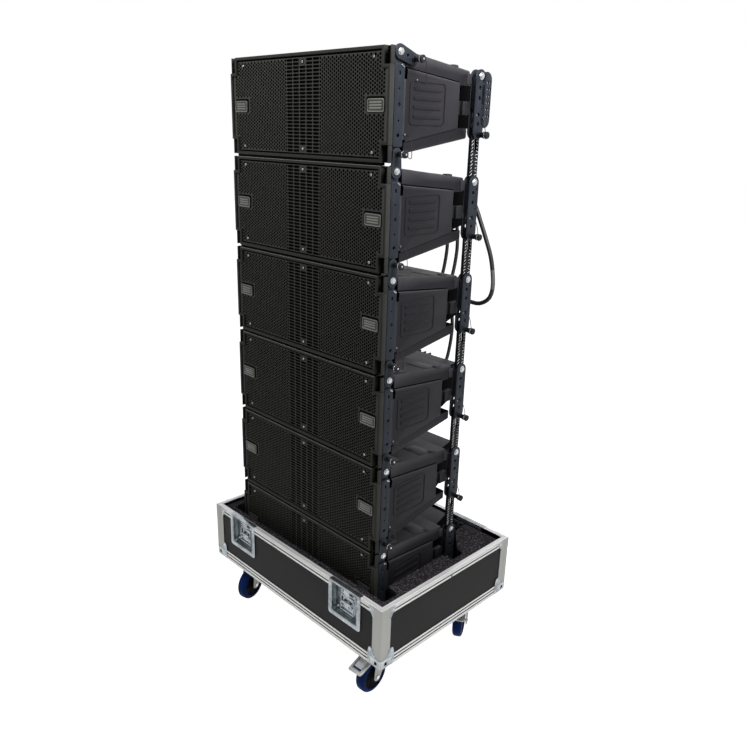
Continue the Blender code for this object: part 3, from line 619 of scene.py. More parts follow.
def cable(name, points, diameter, upper, lower, sleeve=None):
    """A jumper between two cabinets' amplifiers, with a plug in a socket at each end."""
    route = smooth_route(points, 1.1 * diameter)
    jacket = tube(route, diameter / 2, 16)
    for face in jacket.faces if sleeve else ():
        middle = face.calc_center_median()
        face.material_index = int(middle.x > sleeve[0] and sleeve[1] < middle.z < sleeve[2])
    made = Piece().add(jacket, "cable", "sleeve")
    piece_name = name.replace("cable", "jumper")
    obj = new_object(piece_name, made.mesh())
    for label, place, number in (("upper", points[0], upper), ("lower", points[-1], lower)):
        mesh = plug(diameter / 2, 0.034)
        show(f"{piece_name}_{label}_plug", mesh, body_of_cabinet(number), (), place)
    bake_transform(obj)
    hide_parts(name)
    return obj


def cables():
    top_2, top_3 = (cabinet_origin(n).z for n in (2, 3))
    front = cabinet_origin(2).y
    exit_y = front + SOCKET_FACE + 2 * GAP
    loop_x, plane = 0.158, front + 0.456
    cable(
        "cable_2_3_loop",
        [
            (loop_x, exit_y, top_2 - UPPER_SOCKET), (loop_x, exit_y + 0.028, top_2 - UPPER_SOCKET),
            (0.166, plane - 0.006, top_2 - 0.092), (0.182, plane, top_2 - 0.118),
            (0.203, plane, top_2 - 0.158), (0.228, plane, top_2 - 0.208),
            (0.246, plane, top_2 - 0.25), (0.257, plane, top_2 - 0.3),
            (0.258, plane, top_3 - 0.095), (0.247, plane, top_3 - 0.122),
            (0.218, plane, top_3 - 0.139), (0.188, plane - 0.002, top_3 - 0.139),
            (0.166, plane - 0.012, top_3 - 0.132), (loop_x, exit_y + 0.024, top_3 - LOWER_SOCKET),
            (loop_x, exit_y, top_3 - LOWER_SOCKET),
        ],
        0.012, 2, 3, (0.245, top_3 - 0.096, top_3 - 0.04),
    )
    for name, x, upper, lower in (
        ("cable_2_3_power", 0.095, 2, 3),
        ("cable_2_3_signal", 0.131, 2, 3),
        ("cable_3_4_signal", 0.131, 3, 4),
    ):
        start = cabinet_origin(upper).z - LOWER_SOCKET
        end = cabinet_origin(lower).z - UPPER_SOCKET
        cable(
            name,
            [
                (x, exit_y, start), (x, exit_y + 0.018, start), (x, exit_y + 0.038, start - 0.02),
                (x + 0.003, exit_y + 0.048, (start + end) / 2), (x, exit_y + 0.038, end + 0.02),
                (x, exit_y + 0.018, end), (x, exit_y, end),
            ],
            0.01, upper, lower,
        )


cables()


# ---------------------------------------------------------------- small hardware
def screw(at, along="Y", sign=-1, radius=0.0032):
    """A socket-head screw whose head stands out along an axis, towards sign."""
    dome = [
        (0.0, 0.0004), (radius * 0.45, 0.0004), (radius * 0.52, 0.0013), (radius * 0.8, 0.0012),
        (radius, 0.0006), (radius, -0.0002),
    ]
    shape = turned(dome[::-1], "Z", (0, 0, 0), 16)
    if sign < 0:
        bmesh.ops.scale(shape, vec=(1, 1, -1), verts=shape.verts)
        bmesh.ops.reverse_faces(shape, faces=shape.faces)
    return moved(moved(shape, turn=AXES[along]), at)


def hexagon(centre, radius):
    return circle(centre, radius, 6)


def bar(radius, low, high):
    """The profile of a plain round bar."""
    return [(0.0, low), (radius, low), (radius, high), (0.0, high)]


def pin_with_knob(piece, centre, start, wire_drop):
    """A ball-lock pin along X: shaft, collars, dark knob with a bright ring, and its lanyard."""
    y, z = centre
    shaft = [(0.0, start), (0.0034, start), (0.004, start + 0.0008), (0.004, 0.3045), (0.0, 0.3045)]
    piece.add(turned(shaft, "X", (0, y, z), 16), "steel")
    collar = [
        (0.0, 0.2885), (0.0066, 0.2885), (0.007, 0.2892), (0.007, 0.2905), (0.0058, 0.2912),
        (0.0055, 0.304), (0.0, 0.304),
    ]
    piece.add(turned(collar, "X", (0, y, z), 20), "rigging_black")
    knob = [
        (0.0, 0.304), (0.0072, 0.304), (0.008, 0.3048), (0.008, 0.3072), (0.0068, 0.308),
        (0.0068, 0.3092), (0.008, 0.31), (0.008, 0.3146), (0.007, 0.3156), (0.0036, 0.3156),
        (0.0034, 0.315), (0.0, 0.315),
    ]
    piece.add(turned(knob, "X", (0, y, z), 24), "rigging_black")
    piece.add(hoop(0.0072, WIRE, "X", (0.3086, y, z), 24, 8), "steel")
    tip = [(0.0, 0.3146), (0.0026, 0.3146), (0.0024, 0.316), (0.0, 0.316)]
    piece.add(turned(tip, "X", (0, y, z), 16), "steel")
    lanyard(piece, (0.3086, y + 0.0072, z), wire_drop)


def lanyard(piece, start, drop):
    """A short loop of stiff wire from a pin's ring to its rivet, drop away in y and z."""
    end = (0.2896, start[1] + drop[0], start[2] + drop[1])
    first = (start[0] + 0.003, start[1] + 0.006, start[2] - 0.008)
    middle = (start[0] + 0.002, (start[1] + end[1]) / 2 + 0.008, min(start[2], end[2]) - 0.004)
    low = (start[0] - 0.006, end[1] + 0.004, end[2] - 0.007)
    route = smooth_route([start, first, middle, low, end], 0.003)
    piece.add(tube(route, WIRE, 6), "wire")
    rivet = [(0.0, 0.288), (0.0022, 0.288), (0.002, 0.2897), (0.0, 0.29)]
    piece.add(turned(rivet, "X", (0, *end[1:]), 14), "zinc_dull")


# ---------------------------------------------------------------- cabinet: front frame
def notched(inset):
    """The front outline this far inside its edge, stepped in at each corner for the links."""
    x, low, high = HALF_WIDTH - inset, -PITCH + SEAM / 2 + inset, -SEAM / 2 - inset
    step_x, step_z = NOTCH
    right = [
        (x - step_x, low), (x - step_x, low + step_z), (x, low + step_z), (x, high - step_z),
        (x - step_x, high - step_z), (x - step_x, high),
    ]
    return right + [(-px, pz) for px, pz in reversed(right)]


def driver(piece, centre, radii, depth, magnet):
    """A cone driver behind the baffle: basket, surround and magnet."""
    x, z = centre
    basket = [
        (0.0, 0.0165), (radii[0], 0.0165), (radii[0], 0.0195), (radii[0] * 0.92, 0.0235),
        (radii[1] * 1.06, depth), (magnet[0], depth), (magnet[0], magnet[1] - 0.002),
        (magnet[0] - 0.002, magnet[1]), (0.0, magnet[1]),
    ]
    piece.add(turned(basket, "Y", (x, 0, z), 36), "amplifier")


def front_frame(lipped):
    """The painted frame, its dark inner step and baffle, and what the baffle carries.

    lipped adds the lip and the pale line along the frame's top edge under the cabinet above.
    """
    piece = Piece()
    edge, step, step_y = 0.007, 0.0105, 0.0062
    piece.add(prism([notched(0), notched(edge)], "Y", (0.0, 0.014), 0.0011, 2), "frame")
    piece.add(prism([notched(edge - 0.0004), notched(step)], "Y", (step_y, 0.014), 0.0003), "black")
    piece.add(prism([notched(0.0052)], "Y", (0.0092, 0.016), 0.0004), "black")
    # lips that pass each other in the seam between two cabinets
    reach = HALF_WIDTH - NOTCH[0] - 0.0015
    if lipped:
        piece.add(block((-reach, reach), (0.003, 0.0072), (-0.0045, 0.0026), 0.0006), "black")
        # a pale line along the frame's top edge, under the seam
        piece.add(block((-reach, reach), (-0.0002, 0.003), (-0.0045, -0.0031), 0.0004), "frame_edge")
    lower_lip = block((-reach, reach), (0.0112, 0.014), (-PITCH - 0.0026, 0.0045 - PITCH), 0.0006)
    piece.add(lower_lip, "black")
    # the corner recesses that the links stand in
    for z in ((-0.04, -0.0034), (-0.2366, -0.2)):
        piece.add(block((0.268, 0.2886), (0.0122, 0.0144), z, 0.0004), "black", both=True)
        piece.add(block((0.2864, 0.2888), (0.003, 0.0144), z, 0.0007), "frame", both=True)
    middle = -PITCH / 2
    driver(piece, (-0.16, middle), (0.095, 0.045), 0.075, (0.066, 0.1))
    driver(piece, (0.16, middle), (0.082, 0.038), 0.062, (0.05, 0.085))
    guide = wedge((0.0165, 0.11), (0.055, -0.215, -0.025), (0.02, -0.2, -0.04), 0.002)
    piece.add(guide, "amplifier")
    for level in (-0.168, -0.12, -0.072):
        can = [(0.0, 0.109), (0.022, 0.109), (0.022, 0.143), (0.0205, 0.145), (0.0, 0.145)]
        piece.add(turned(can, "Y", (0, 0, level), 28), "amplifier")
    return piece.mesh()


# ---------------------------------------------------------------- cabinet: perforated grille
LEVEL = 0.00404  # half the spacing of the rows
ROWS = 26
COLUMN = 0.00684
HOLE = 0.0032
SLOT = (0.0112, 0.003)  # half length and half height
SLOT_PITCH = 0.0243
GRILLE_FACE = 0.004
# the recess is a near-black plate, painted shade, standing a little proud of the sheet
BADGE_DEPTHS = (-0.0006, 0.0006), (-0.0022, 0.0), (-0.0028, -0.0018)  # recess, plate and ridges


def grille_cell(shape, left, right, centre_z, hole):
    """A six-cornered cell of the sheet between two x values: a round hole, a slot or neither.

    anchors are the hole's points that meet the cell's corners.
    """
    middle, half = (left + right) / 2, (right - left) / 2
    outer = [
        shape.verts.new((middle + dx * half, GRILLE_FACE, centre_z + dz * LEVEL))
        for dx, dz in ((1, 0), (1, 1), (-1, 1), (-1, 0), (-1, -1), (1, -1))
    ]
    if hole is None:
        shape.faces.new(outer)
        return
    if hole == "round":
        inner = circle((middle, centre_z), HOLE, 12)
        anchors = (0, 2, 4, 6, 8, 10)
    else:
        run = SLOT[0] - SLOT[1]
        inner = (
            arc((middle + run, centre_z), SLOT[1], 0, 90, 3)
            + arc((middle - run, centre_z), SLOT[1], 90, 270, 6)
            + arc((middle + run, centre_z), SLOT[1], 270, 330, 2)
        )
        anchors = (0, 3, 4, 7, 10, 11)
    inner = [shape.verts.new((x, GRILLE_FACE, z)) for x, z in inner]
    for k, first in enumerate(anchors):
        run = (anchors[(k + 1) % 6] - first) % len(inner)
        edge = [inner[(first + j) % len(inner)] for j in range(run, -1, -1)]
        shape.faces.new([outer[k], outer[(k + 1) % 6], *edge])


def grille():
    """The steel sheet: round holes each side, slots in the middle, and a millimetre of thickness."""
    shape = bmesh.new()
    middle = -PITCH / 2
    notch_x = HALF_WIDTH - 0.0108 - NOTCH[0]
    outer_columns, inner_columns = 2, 29
    badge_x, badge_z = 0.2125, (-0.139, -0.097)
    screw_x, screw_z, screw_room = 0.2375, (-0.0235, -0.2165), 0.0062
    for side in (-1, 1):
        for k in range(-inner_columns, outer_columns):
            near, far = notch_x + k * COLUMN, notch_x + (k + 1) * COLUMN
            left, right = sorted((side * near, side * far))
            parity = (k + inner_columns) % 2
            reach = 18 if k >= 0 else ROWS
            for m in range(-reach + 1, reach):
                if (m + parity) % 2 == 0:
                    continue
                z = middle + m * LEVEL
                x = (near + far) / 2
                blocked = x > badge_x and badge_z[0] < z < badge_z[1]
                blocked = blocked or any(math.hypot(x - screw_x, z - sz) < screw_room for sz in screw_z)
                grille_cell(shape, left, right, z, None if blocked else "round")
            fill_column(shape, left, right, middle, reach, parity, k < 0)
        fill_strip(shape, side, notch_x + outer_columns * COLUMN, 0.2805, middle, 18)
        fill_strip(shape, side, 2.5 * SLOT_PITCH, notch_x - inner_columns * COLUMN, middle, ROWS, True)
    for column in range(-2, 3):
        left, right = (column - 0.5) * SLOT_PITCH, (column + 0.5) * SLOT_PITCH
        for m in range(-ROWS + 1, ROWS, 2):
            tab = column == 0 and abs(m) >= ROWS - 3
            grille_cell(shape, left, right, middle + m * LEVEL, None if tab else "slot")
        cap_column(shape, left, right, middle)
    bmesh.ops.remove_doubles(shape, verts=shape.verts, dist=1e-5)
    bmesh.ops.recalc_face_normals(shape, faces=shape.faces)
    if shape.faces[0].normal.y > 0:
        bmesh.ops.reverse_faces(shape, faces=shape.faces)
    rim = bmesh.ops.extrude_face_region(shape, geom=list(shape.faces), use_keep_orig=True)
    backs = [v for v in rim["geom"] if isinstance(v, bmesh.types.BMVert)]
    bmesh.ops.translate(shape, vec=(0, 0.001, 0), verts=backs)
    bmesh.ops.recalc_face_normals(shape, faces=shape.faces)

    piece = Piece().add(shape, "grille")
    for x, radius, both in ((screw_x, 0.0046, True), (0.0, 0.0048, False)):
        for z in screw_z:
            # a near-black disc round each screw head, painted shade standing for the dimple it sits in
            dimple_shade = [(0.0, 0.0002), (radius, 0.0002), (radius + 0.0004, -0.0004), (0.0, -0.0004)]
            piece.add(turned(dimple_shade, "Y", (x, GRILLE_FACE, z), 20), "black", both=both)
            piece.add(screw((x, GRILLE_FACE - 0.0004, z)), "zinc_dull", both=both)
    badge(piece)
    return piece.mesh(smooth=25)


def quad(shape, left, right, low, high):
    corners = ((left, low), (right, low), (right, high), (left, high))
    shape.faces.new([shape.verts.new((x, GRILLE_FACE, z)) for x, z in corners])


def cap_column(shape, left, right, middle):
    """The plain edge above and below a column of full rows."""
    quad(shape, left, right, middle + ROWS * LEVEL, -SEAM / 2 - 0.011)
    quad(shape, left, right, -PITCH + SEAM / 2 + 0.011, middle - ROWS * LEVEL)


def fill_column(shape, left, right, middle, reach, parity, capped):
    """The half cells that a column shifted by half a row leaves at its ends, and its caps."""
    for end in (-1, 1):
        if (reach - 1 + parity) % 2 == 0:
            low, high = sorted((middle + end * reach * LEVEL, middle + end * (reach - 1) * LEVEL))
            quad(shape, left, right, low, high)
    if capped:
        cap_column(shape, left, right, middle)


def fill_strip(shape, side, near, far, middle, reach, capped=False):
    """A plain strip of the sheet between two x values, in steps that match its neighbours."""
    left, right = sorted((side * near, side * far))
    for m in range(-reach, reach):
        quad(shape, left, right, middle + m * LEVEL, middle + (m + 1) * LEVEL)
    if capped:
        cap_column(shape, left, right, middle)


def badge(piece):
    """A plain satin plate on a black plate that paints the shade of its recess, with a raised border and
    three ridges.
    """
    x, z = (0.2177, 0.2735), (-0.134, -0.102)
    recess = rounded_rectangle((x[0] - 0.001, x[1] + 0.0002), (z[0] - 0.0006, z[1] + 0.0006), 0.006)
    sunk, face, proud = ((GRILLE_FACE + a, GRILLE_FACE + b) for a, b in BADGE_DEPTHS)
    # the recess: a near-black plate round the badge, painted shade
    piece.add(prism([recess], "Y", sunk, 0.0003), "black", both=True)
    outline = rounded_rectangle((x[0] + 0.0035, x[1]), (z[0], z[1] - 0.004), 0.0045)
    piece.add(prism([outline], "Y", face, 0.0005, 2), "badge_field", both=True)
    inner = rounded_rectangle((x[0] + 0.0058, x[1] - 0.0023), (z[0] + 0.0032, z[1] - 0.0063), 0.003)
    outer = rounded_rectangle((x[0] + 0.004, x[1] - 0.0005), (z[0] + 0.0005, z[1] - 0.0045), 0.0042)
    piece.add(prism([outer, inner], "Y", proud, 0.0003), "badge", both=True)
    for k in range(3):
        level = z[0] + 0.0068 + 0.0058 * k
        ridge = rounded_rectangle((x[0] + 0.0105, x[1] - 0.0075), (level, level + 0.0034), 0.0015)
        piece.add(prism([ridge], "Y", proud, 0.0003), "badge", both=True)


# ---------------------------------------------------------------- cabinet: housing
def housing_section(y):
    return SIDE_HALF - SIDE_TAPER * y, -0.227 + 0.155 * y, -0.003 - SHELF_SLOPE * y


def panel_section(y):
    return SIDE_HALF + PANEL_PROUD - SIDE_TAPER * y, -0.203 + 0.172 * y, -0.039 - PANEL_SLOPE * y


def on_side_panel(shape):
    """Lays a shape drawn about x = 0 onto the raised side panel's tapering face."""
    for corner in shape.verts:
        corner.co.x += SIDE_HALF + PANEL_PROUD - SIDE_TAPER * corner.co.y
    return shape


def housing():
    """The moulded shell with raised side panels, sloping shelves, pockets and the rear tail."""
    wide = wedge((HOUSING_FRONT, SHOULDER_Y), housing_section(HOUSING_FRONT),
                 housing_section(SHOULDER_Y), 0.0045, 4)
    panel = wedge(PANEL_Y, panel_section(PANEL_Y[0]), panel_section(PANEL_Y[1]), 0.0036, 4)
    tail = wedge((SHOULDER_Y - 0.02, TAIL_Y), (0.248, -0.166, -0.052), (0.205, -0.158, -0.06), 0.005, 3)
    # the tail's sides take the second finish, painted shade, as they sit deep in shade behind the side panels
    for face in tail.faces:
        face.material_index = int(abs(face.normal.x) > 0.6)
    shell = fuse(wide, panel, tail)
    for side in (-1, 1):
        x = sorted((side * 0.236, side * 0.31))
        corner_x = sorted((side * 0.268, side * 0.31))
        # the rear pockets and the corner pockets, with painted shade on their cut faces
        shell = cut(
            shell,
            block(x, (POCKET_Y, 0.295), (-0.16, -0.066), 0.003),
            block(corner_x, (0.0, 0.056), (-0.066, 0.01), 0.002),
            block(corner_x, (0.0, 0.056), (-0.25, -0.188), 0.002),
            shade_slot=1,
        )
        # the shut line along the top of the side panel, and the small catch at its front end, both with
        # painted shade on their cut faces
        shell = cut(shell, shut_line(side, -0.0385, 0.0022), shade_slot=1)
        notch_x = sorted((side * 0.279, side * 0.292))
        shell = cut(shell, block(notch_x, (0.0475, 0.057), (-0.056, -0.0455), 0.001), shade_slot=1)
    # the second finish is the painted shade in the cuts and on the tail's sides
    piece = Piece().add(shell, "plastic", "pocket_shade")

    for k in range(4):
        level = -0.139 + 0.019 * k
        ridge = rounded_rectangle((0.08, 0.176), (level - 0.005, level + 0.005), 0.0046, 5)
        piece.add(on_side_panel(prism([ridge], "X", (-0.0006, 0.0016), 0.0007, 2)), "plastic", both=True)
    border = rounded_rectangle((0.066, 0.19), (-0.158, -0.066), 0.012, 6)
    inside = rounded_rectangle((0.0695, 0.1865), (-0.1545, -0.0695), 0.009, 6)
    border = on_side_panel(prism([border, inside], "X", (-0.0006, 0.0012), 0.0006, 2))
    piece.add(border, "plastic", both=True)
    # ear behind the panel's top rear corner, and the catch in front of it
    piece.add(block((0.249, 0.276), (0.27, 0.287), (-0.064, -0.039), 0.003), "plastic", both=True)
    piece.add(block((0.256, 0.2735), (0.22, 0.24), (-0.0315, -0.0235), 0.003), "plastic", both=True)
    # shallow pads on the upper shelf, where the cabinet above rests
    for x in (0.135, 0.235):
        for y in (0.085, 0.205):
            level = -0.003 - SHELF_SLOPE * y
            pad = block((x - 0.03, x + 0.03), (y - 0.024, y + 0.024), (-0.0006, 0.0008), 0.0006)
            moved(pad, (0, -y, 0))
            moved(pad, (0, y, level), Matrix.Rotation(-math.atan(SHELF_SLOPE), 3, "X"))
            piece.add(pad, "plastic", both=True)
    # screws that hold the tail to the shoulder
    for z in (-0.075, -0.145):
        piece.add(screw((0.215, 0.288, z), "Y", 1, 0.0035), "steel", both=True)
    return piece.mesh(smooth=28)


def shut_line(side, z, width):
    """A thin cutter that runs along the side, following its slope and taper."""
    shape = bmesh.new()
    bmesh.ops.create_cube(shape, size=2.0)
    for corner in shape.verts:
        y = PANEL_Y[1] if corner.co.y > 0 else PANEL_Y[0]
        middle = z - PANEL_SLOPE * y + 0.001
        reach = SIDE_HALF - SIDE_TAPER * y
        x = reach + 0.006 if corner.co.x > 0 else reach - 0.001
        corner.co = (side * x, y, middle + corner.co.z * width / 2)
    if side < 0:
        bmesh.ops.reverse_faces(shape, faces=shape.faces)
    return shape


# ---------------------------------------------------------------- cabinet: amplifier
def amplifier():
    """The rear module. Heights in its round parts' profiles start at its mounting plate."""
    piece = Piece()
    front = TAIL_Y + GAP

    def round_part(profile, x, z, steps, finish):
        raised = [(radius, front + height) for radius, height in profile]
        piece.add(turned(raised, "Y", (x, 0, z), steps), finish)

    piece.add(prism([rounded_rectangle((-0.203, 0.203), (-0.156, -0.062), 0.006)], "Y",
                    (front, front + 0.004), 0.0008, 2), "amplifier")
    piece.add(block((-0.185, 0.185), (0.27, front + 0.001), (-0.148, -0.071), 0.002), "amplifier")
    fins = 9
    for k in range(fins):
        x = -0.078 + 0.156 * k / (fins - 1)
        fin = block((x - 0.0018, x + 0.0018), (front + 0.003, 0.425), (-0.15, -0.068), 0.0008)
        for corner in fin.verts:
            if corner.co.y > 0.415:
                corner.co.x = x + (corner.co.x - x) * 0.6
        piece.add(fin, "amplifier")
    piece.add(block((-0.0815, 0.0815), (front + 0.003, front + 0.0075), (-0.151, -0.067), 0.001), "amplifier")
    for x in (-0.128, 0.128):
        outline = rounded_rectangle((x - 0.042, x + 0.042), (-0.146, -0.072), 0.004)
        piece.add(prism([outline], "Y", (front + 0.003, front + 0.01), 0.0008, 2), "amplifier")
    for x in SOCKET_X:
        for level in (-UPPER_SOCKET, -LOWER_SOCKET):
            flange = [(0.0, 0.0092), (0.0124, 0.0092), (0.0124, 0.0106), (0.0118, 0.0112),
                      (0.01, 0.0112), (0.01, 0.0104), (0.0, 0.0104)]
            round_part(flange, x, level, 28, "socket")
            piece.add(hoop(0.0108, 0.0005, "Y", (x, front + 0.0113, level), 28, 6), "steel")
    # controls on the other block: a dark window, four buttons and a knob
    window = rounded_rectangle((-0.16, -0.132), (-0.104, -0.082), 0.002)
    piece.add(prism([window], "Y", (front + 0.009, front + 0.0108), 0.0003), "socket")
    button = [(0.0, 0.0092), (0.003, 0.0092), (0.003, 0.0122), (0.0024, 0.0128), (0.0, 0.0128)]
    for k in range(4):
        round_part(button, -0.16 + 0.0095 * k, -0.118, 16, "badge")
    knob = [(0.0, 0.0092), (0.008, 0.0092), (0.0075, 0.019), (0.0065, 0.02), (0.0, 0.02)]
    round_part(knob, -0.106, -0.094, 24, "socket")
    for x in (-0.196, 0.196):
        for z in (-0.149, -0.109, -0.069):
            piece.add(screw((x, front + 0.004, z), "Y", 1, 0.003), "steel")
    for x in (0.088, 0.168, -0.088, -0.168):
        for z in (-0.1435, -0.0745):
            piece.add(screw((x, front + 0.01, z), "Y", 1, 0.0018), "steel")
    return piece.mesh()


# ---------------------------------------------------------------- cabinet: rigging
def rail_holes():
    return [circle((0.305, z), PIN_HOLE, 14) for z in (-0.069, -0.092, -0.129, -0.15)] + [
        circle((0.317, z), 0.0024, 10) for z in (-0.06, -0.108)
    ]


def rigging(linked):
    """The right-hand steel frame. Linked: its links stand up into the cabinet above."""
    piece = Piece()
    holes = [
        rounded_rectangle((0.0285, 0.0335), (-0.06, -0.051), 0.0024),
        circle((0.031, -0.118), 0.0045), circle((0.031, -0.18), 0.004),
        circle((0.031, -0.086), 0.0022, 10), circle((0.031, -0.15), 0.0022, 10),
    ]
    strip = rounded_rectangle(STRIP_Y, STRIP_Z, 0.004)
    piece.add(prism([strip, *holes], "X", STRIP_X, 0.0009, 2), "rigging")
    piece.add(block((0.27, 0.2835), (0.02, 0.042), (-0.199, -0.041), 0.001), "black")
    for z in ((-0.062, -0.037), (-0.2035, -0.19)):
        piece.add(block((LUG_X[0], STRIP_X[0] + 0.001), (0.0185, 0.0435), z, 0.0012), "rigging")
    for first, second in (((0.031, -0.045), FRONT_BOLT), ((0.031, -0.2), FRONT_PIN)):
        piece.add(prism([capsule(first, second, 0.0125, 0.0125)], "X", LUG_X, 0.0012, 2), "rigging")
    piece.add(turned(bar(0.004, 0.272, 0.2895), "X", (0, *FRONT_BOLT), 16), "steel")
    washer = [(0.0, 0.2888), (0.0074, 0.2888), (0.0078, 0.2894), (0.0074, 0.29), (0.0, 0.29)]
    piece.add(turned(washer, "X", (0, *FRONT_BOLT), 20), "steel")
    piece.add(prism([hexagon(FRONT_BOLT, BOLT_HEAD)], "X", (0.2898, 0.293), 0.0006, 2), "steel")
    pin_with_knob(piece, FRONT_PIN, 0.272, (0.014, 0.04))
    # the keeper below the top lug
    outline = rounded_rectangle((-0.0055, 0.0055), (-0.0018, 0.0018), 0.0015)
    keeper = prism([outline], "X", (0.2886, 0.2904), 0.0005)
    piece.add(moved(keeper, (0, 0.0385, -0.041), Matrix.Rotation(math.radians(-32), 3, "X")), "zinc")

    for x, y in (((0.262, 0.286), (0.02, 0.04)), ((0.26, 0.2655), (0.02, 0.27)),
                 ((0.26, 0.2734), (0.262, RAIL_Y[0] + 0.002))):
        piece.add(block(x, y, TIE_Z, 0.001), "rigging_black")

    outline = arc((REAR_PIN[0], RAIL_Z[1] - RAIL_ROUND), RAIL_ROUND, 0, 180, 12)
    outline += arc((REAR_PIN[0], RAIL_Z[0] + RAIL_ROUND), RAIL_ROUND, 180, 360, 12)
    for x in ((RAIL_X[0], 0.2728), (0.2832, RAIL_X[1])):
        piece.add(prism([outline, *rail_holes()], "X", x, 0.001, 2), "rigging")
    piece.add(block((0.2725, 0.2835), (0.29, 0.324), (-0.116, -0.046), 0.0008), "rigging_black")
    piece.add(turned(bar(0.004, 0.264, 0.307), "X", (0, *REAR_PIN), 16), "steel")
    knob = [
        (0.0, 0.2895), (0.0062, 0.2895), (0.0062, 0.305), (0.008, 0.3062), (0.008, 0.31),
        (0.007, 0.3108), (0.007, 0.3118), (0.008, 0.3126), (0.008, 0.3172), (0.0068, 0.318),
        (0.0, 0.318),
    ]
    piece.add(turned(knob, "X", (0, *REAR_PIN), 24), "rigging_black")
    piece.add(hoop(0.0074, WIRE, "X", (0.3113, *REAR_PIN), 24, 8), "steel")
    lanyard(piece, (0.3113, REAR_PIN[0] - 0.008, REAR_PIN[1]), (-0.002, 0.044))
    rear_bolt = (REAR_PIN[0], -0.043)
    piece.add(turned(bar(0.0086, 0.2878, 0.289), "X", (0, *rear_bolt), 24), "steel")
    piece.add(prism([hexagon(rear_bolt, BOLT_HEAD)], "X", (0.2888, 0.292), 0.0006, 2), "steel")

    if linked:
        pin_above = (FRONT_PIN[0], FRONT_PIN[1] + PITCH)
        link = capsule(FRONT_BOLT, pin_above, 0.016, 0.013)
        piece.add(prism([link, circle(pin_above, PIN_HOLE)], "X", STRIP_X, 0.0009, 2), "rigging")
        piece.add(rear_link(), "rigging_black")
        tick_marks(piece)
    else:
        holes = [circle((y, -0.056 - 0.015 * k), 0.0034, 12) for k in range(6) for y in (0.3345, 0.343)]
        stowed = capsule((0.33, -0.05), (0.33, -0.14), 0.018, 0.018)
        piece.add(prism([stowed, *holes], "X", STOWED_X, 0.0008, 2), "rigging")
    return piece


def rear_link():
    """The slotted link up to the cabinet above, whose pin slides in the slot as it tilts."""
    pin_above = Vector((REAR_PIN[0], REAR_PIN[1] + PITCH))
    pivot = Vector((FRONT_PIN[0], FRONT_PIN[1] + PITCH))
    limit = math.radians(7)
    reach = pin_above - pivot
    drop = reach[0] * math.sin(limit) + reach[1] * (1 - math.cos(limit))
    shift = reach[1] * math.sin(limit) - reach[0] * (1 - math.cos(limit))
    centre = pin_above + Vector((shift / 2, -drop / 2))
    along = Vector((shift, -drop)).normalized() * drop / 2
    slot = capsule(tuple(centre - along), tuple(centre + along), 0.0047, 0.0047, 8)
    y = REAR_PIN[0]
    body = rounded_rectangle((y - 0.015, y + 0.015), (-0.034, pin_above[1] + 0.014), 0.006)
    return prism([body, slot], "X", LINK_X, 0.0008, 2)


def tick_marks(piece):
    """Painted strokes beside the slot, one for each step of the angle between cabinets."""
    for k in range(11):
        for y, tilt in ((REAR_PIN[0] - 0.0095, 34), (REAR_PIN[0] + 0.0085, -28 if k % 2 else 8)):
            reach = 0.0044 if (k + (tilt > 0)) % 3 else 0.003
            stroke = prism([rounded_rectangle((-reach, reach), (-0.00075, 0.00075), 0.0006, 2)],
                           "X", (LINK_X[1] - 0.0001, LINK_X[1] + 0.0002), 0.00005)
            turn = Matrix.Rotation(math.radians(tilt), 3, "X")
            piece.add(moved(stroke, (0, y, -0.026 + 0.0078 * k), turn), "marking")


def folded_link():
    """The top cabinet's front link, folded back, with its pin stored in it."""
    piece = Piece()
    stored = (FRONT_BOLT[0] + 0.042, FRONT_BOLT[1] - 0.012)
    outline = capsule(FRONT_BOLT, stored, 0.0153, 0.013)
    hole = circle((0.053, -0.0203), 0.0032, 12)
    piece.add(prism([outline, circle(FRONT_BOLT, PIN_HOLE), hole], "X", STRIP_X, 0.0009, 2), "rigging")
    pin_with_knob(piece, stored, STRIP_X[0], (0.004, -0.04))
    return piece


def cabinets():
    frames = {lipped: front_frame(lipped) for lipped in (True, False)}
    grille_mesh, shell, amp = grille(), housing(), amplifier()
    for number in CABINETS:
        at, body = cabinet_origin(number), body_of_cabinet(number)
        show(f"front_frame_{number}", frames[number > 1], body, [f"front_baffle_{number}"], at)
        show(f"grille_sheet_{number}", grille_mesh, body, [f"grille_{number}"], at)
        show(f"cabinet_shell_{number}", shell, body, [f"housing_{number}"], at)
        show(f"amplifier_{number}", amp, body, [f"amp_panel_{number}"], at)
    right = {linked: rigging(linked) for linked in (True, False)}
    for side, mirrored in (("right", False), ("left", True)):
        meshes = {linked: piece.mesh(mirrored) for linked, piece in right.items()}
        for number in CABINETS:
            show(f"rigging_frame_{side}_{number}", meshes[number > 1], body_of_cabinet(number),
                 [f"rigging_{side}_{number}"], cabinet_origin(number))
        show(f"folded_link_{side}", folded_link().mesh(mirrored), f"front_link_{side}",
             [f"front_link_{side}"], cabinet_origin(1))


cabinets()


# ---------------------------------------------------------------- transport case
def edging(profile, grooves=None):
    """An extrusion round the case, mitred at its corners. The profile is (outward, z) pairs.

    Faces sunk between these two heights get material 1.
    """
    shape = bmesh.new()
    rings = [
        [shape.verts.new((sx * (CASE_X + out), sy * (CASE_Y + out), z)) for out, z in profile]
        for sx, sy in ((1, -1), (1, 1), (-1, 1), (-1, -1))
    ]
    for k, face in enumerate(skin(shape, rings, around=True)):
        pair = profile[k % len(profile)], profile[(k + 1) % len(profile)]
        out, z = ((a + b) / 2 for a, b in zip(*pair))
        if grooves and grooves[0] < z < grooves[1] and -0.0025 < out < -0.0009:
            face.material_index = 1
    return shape


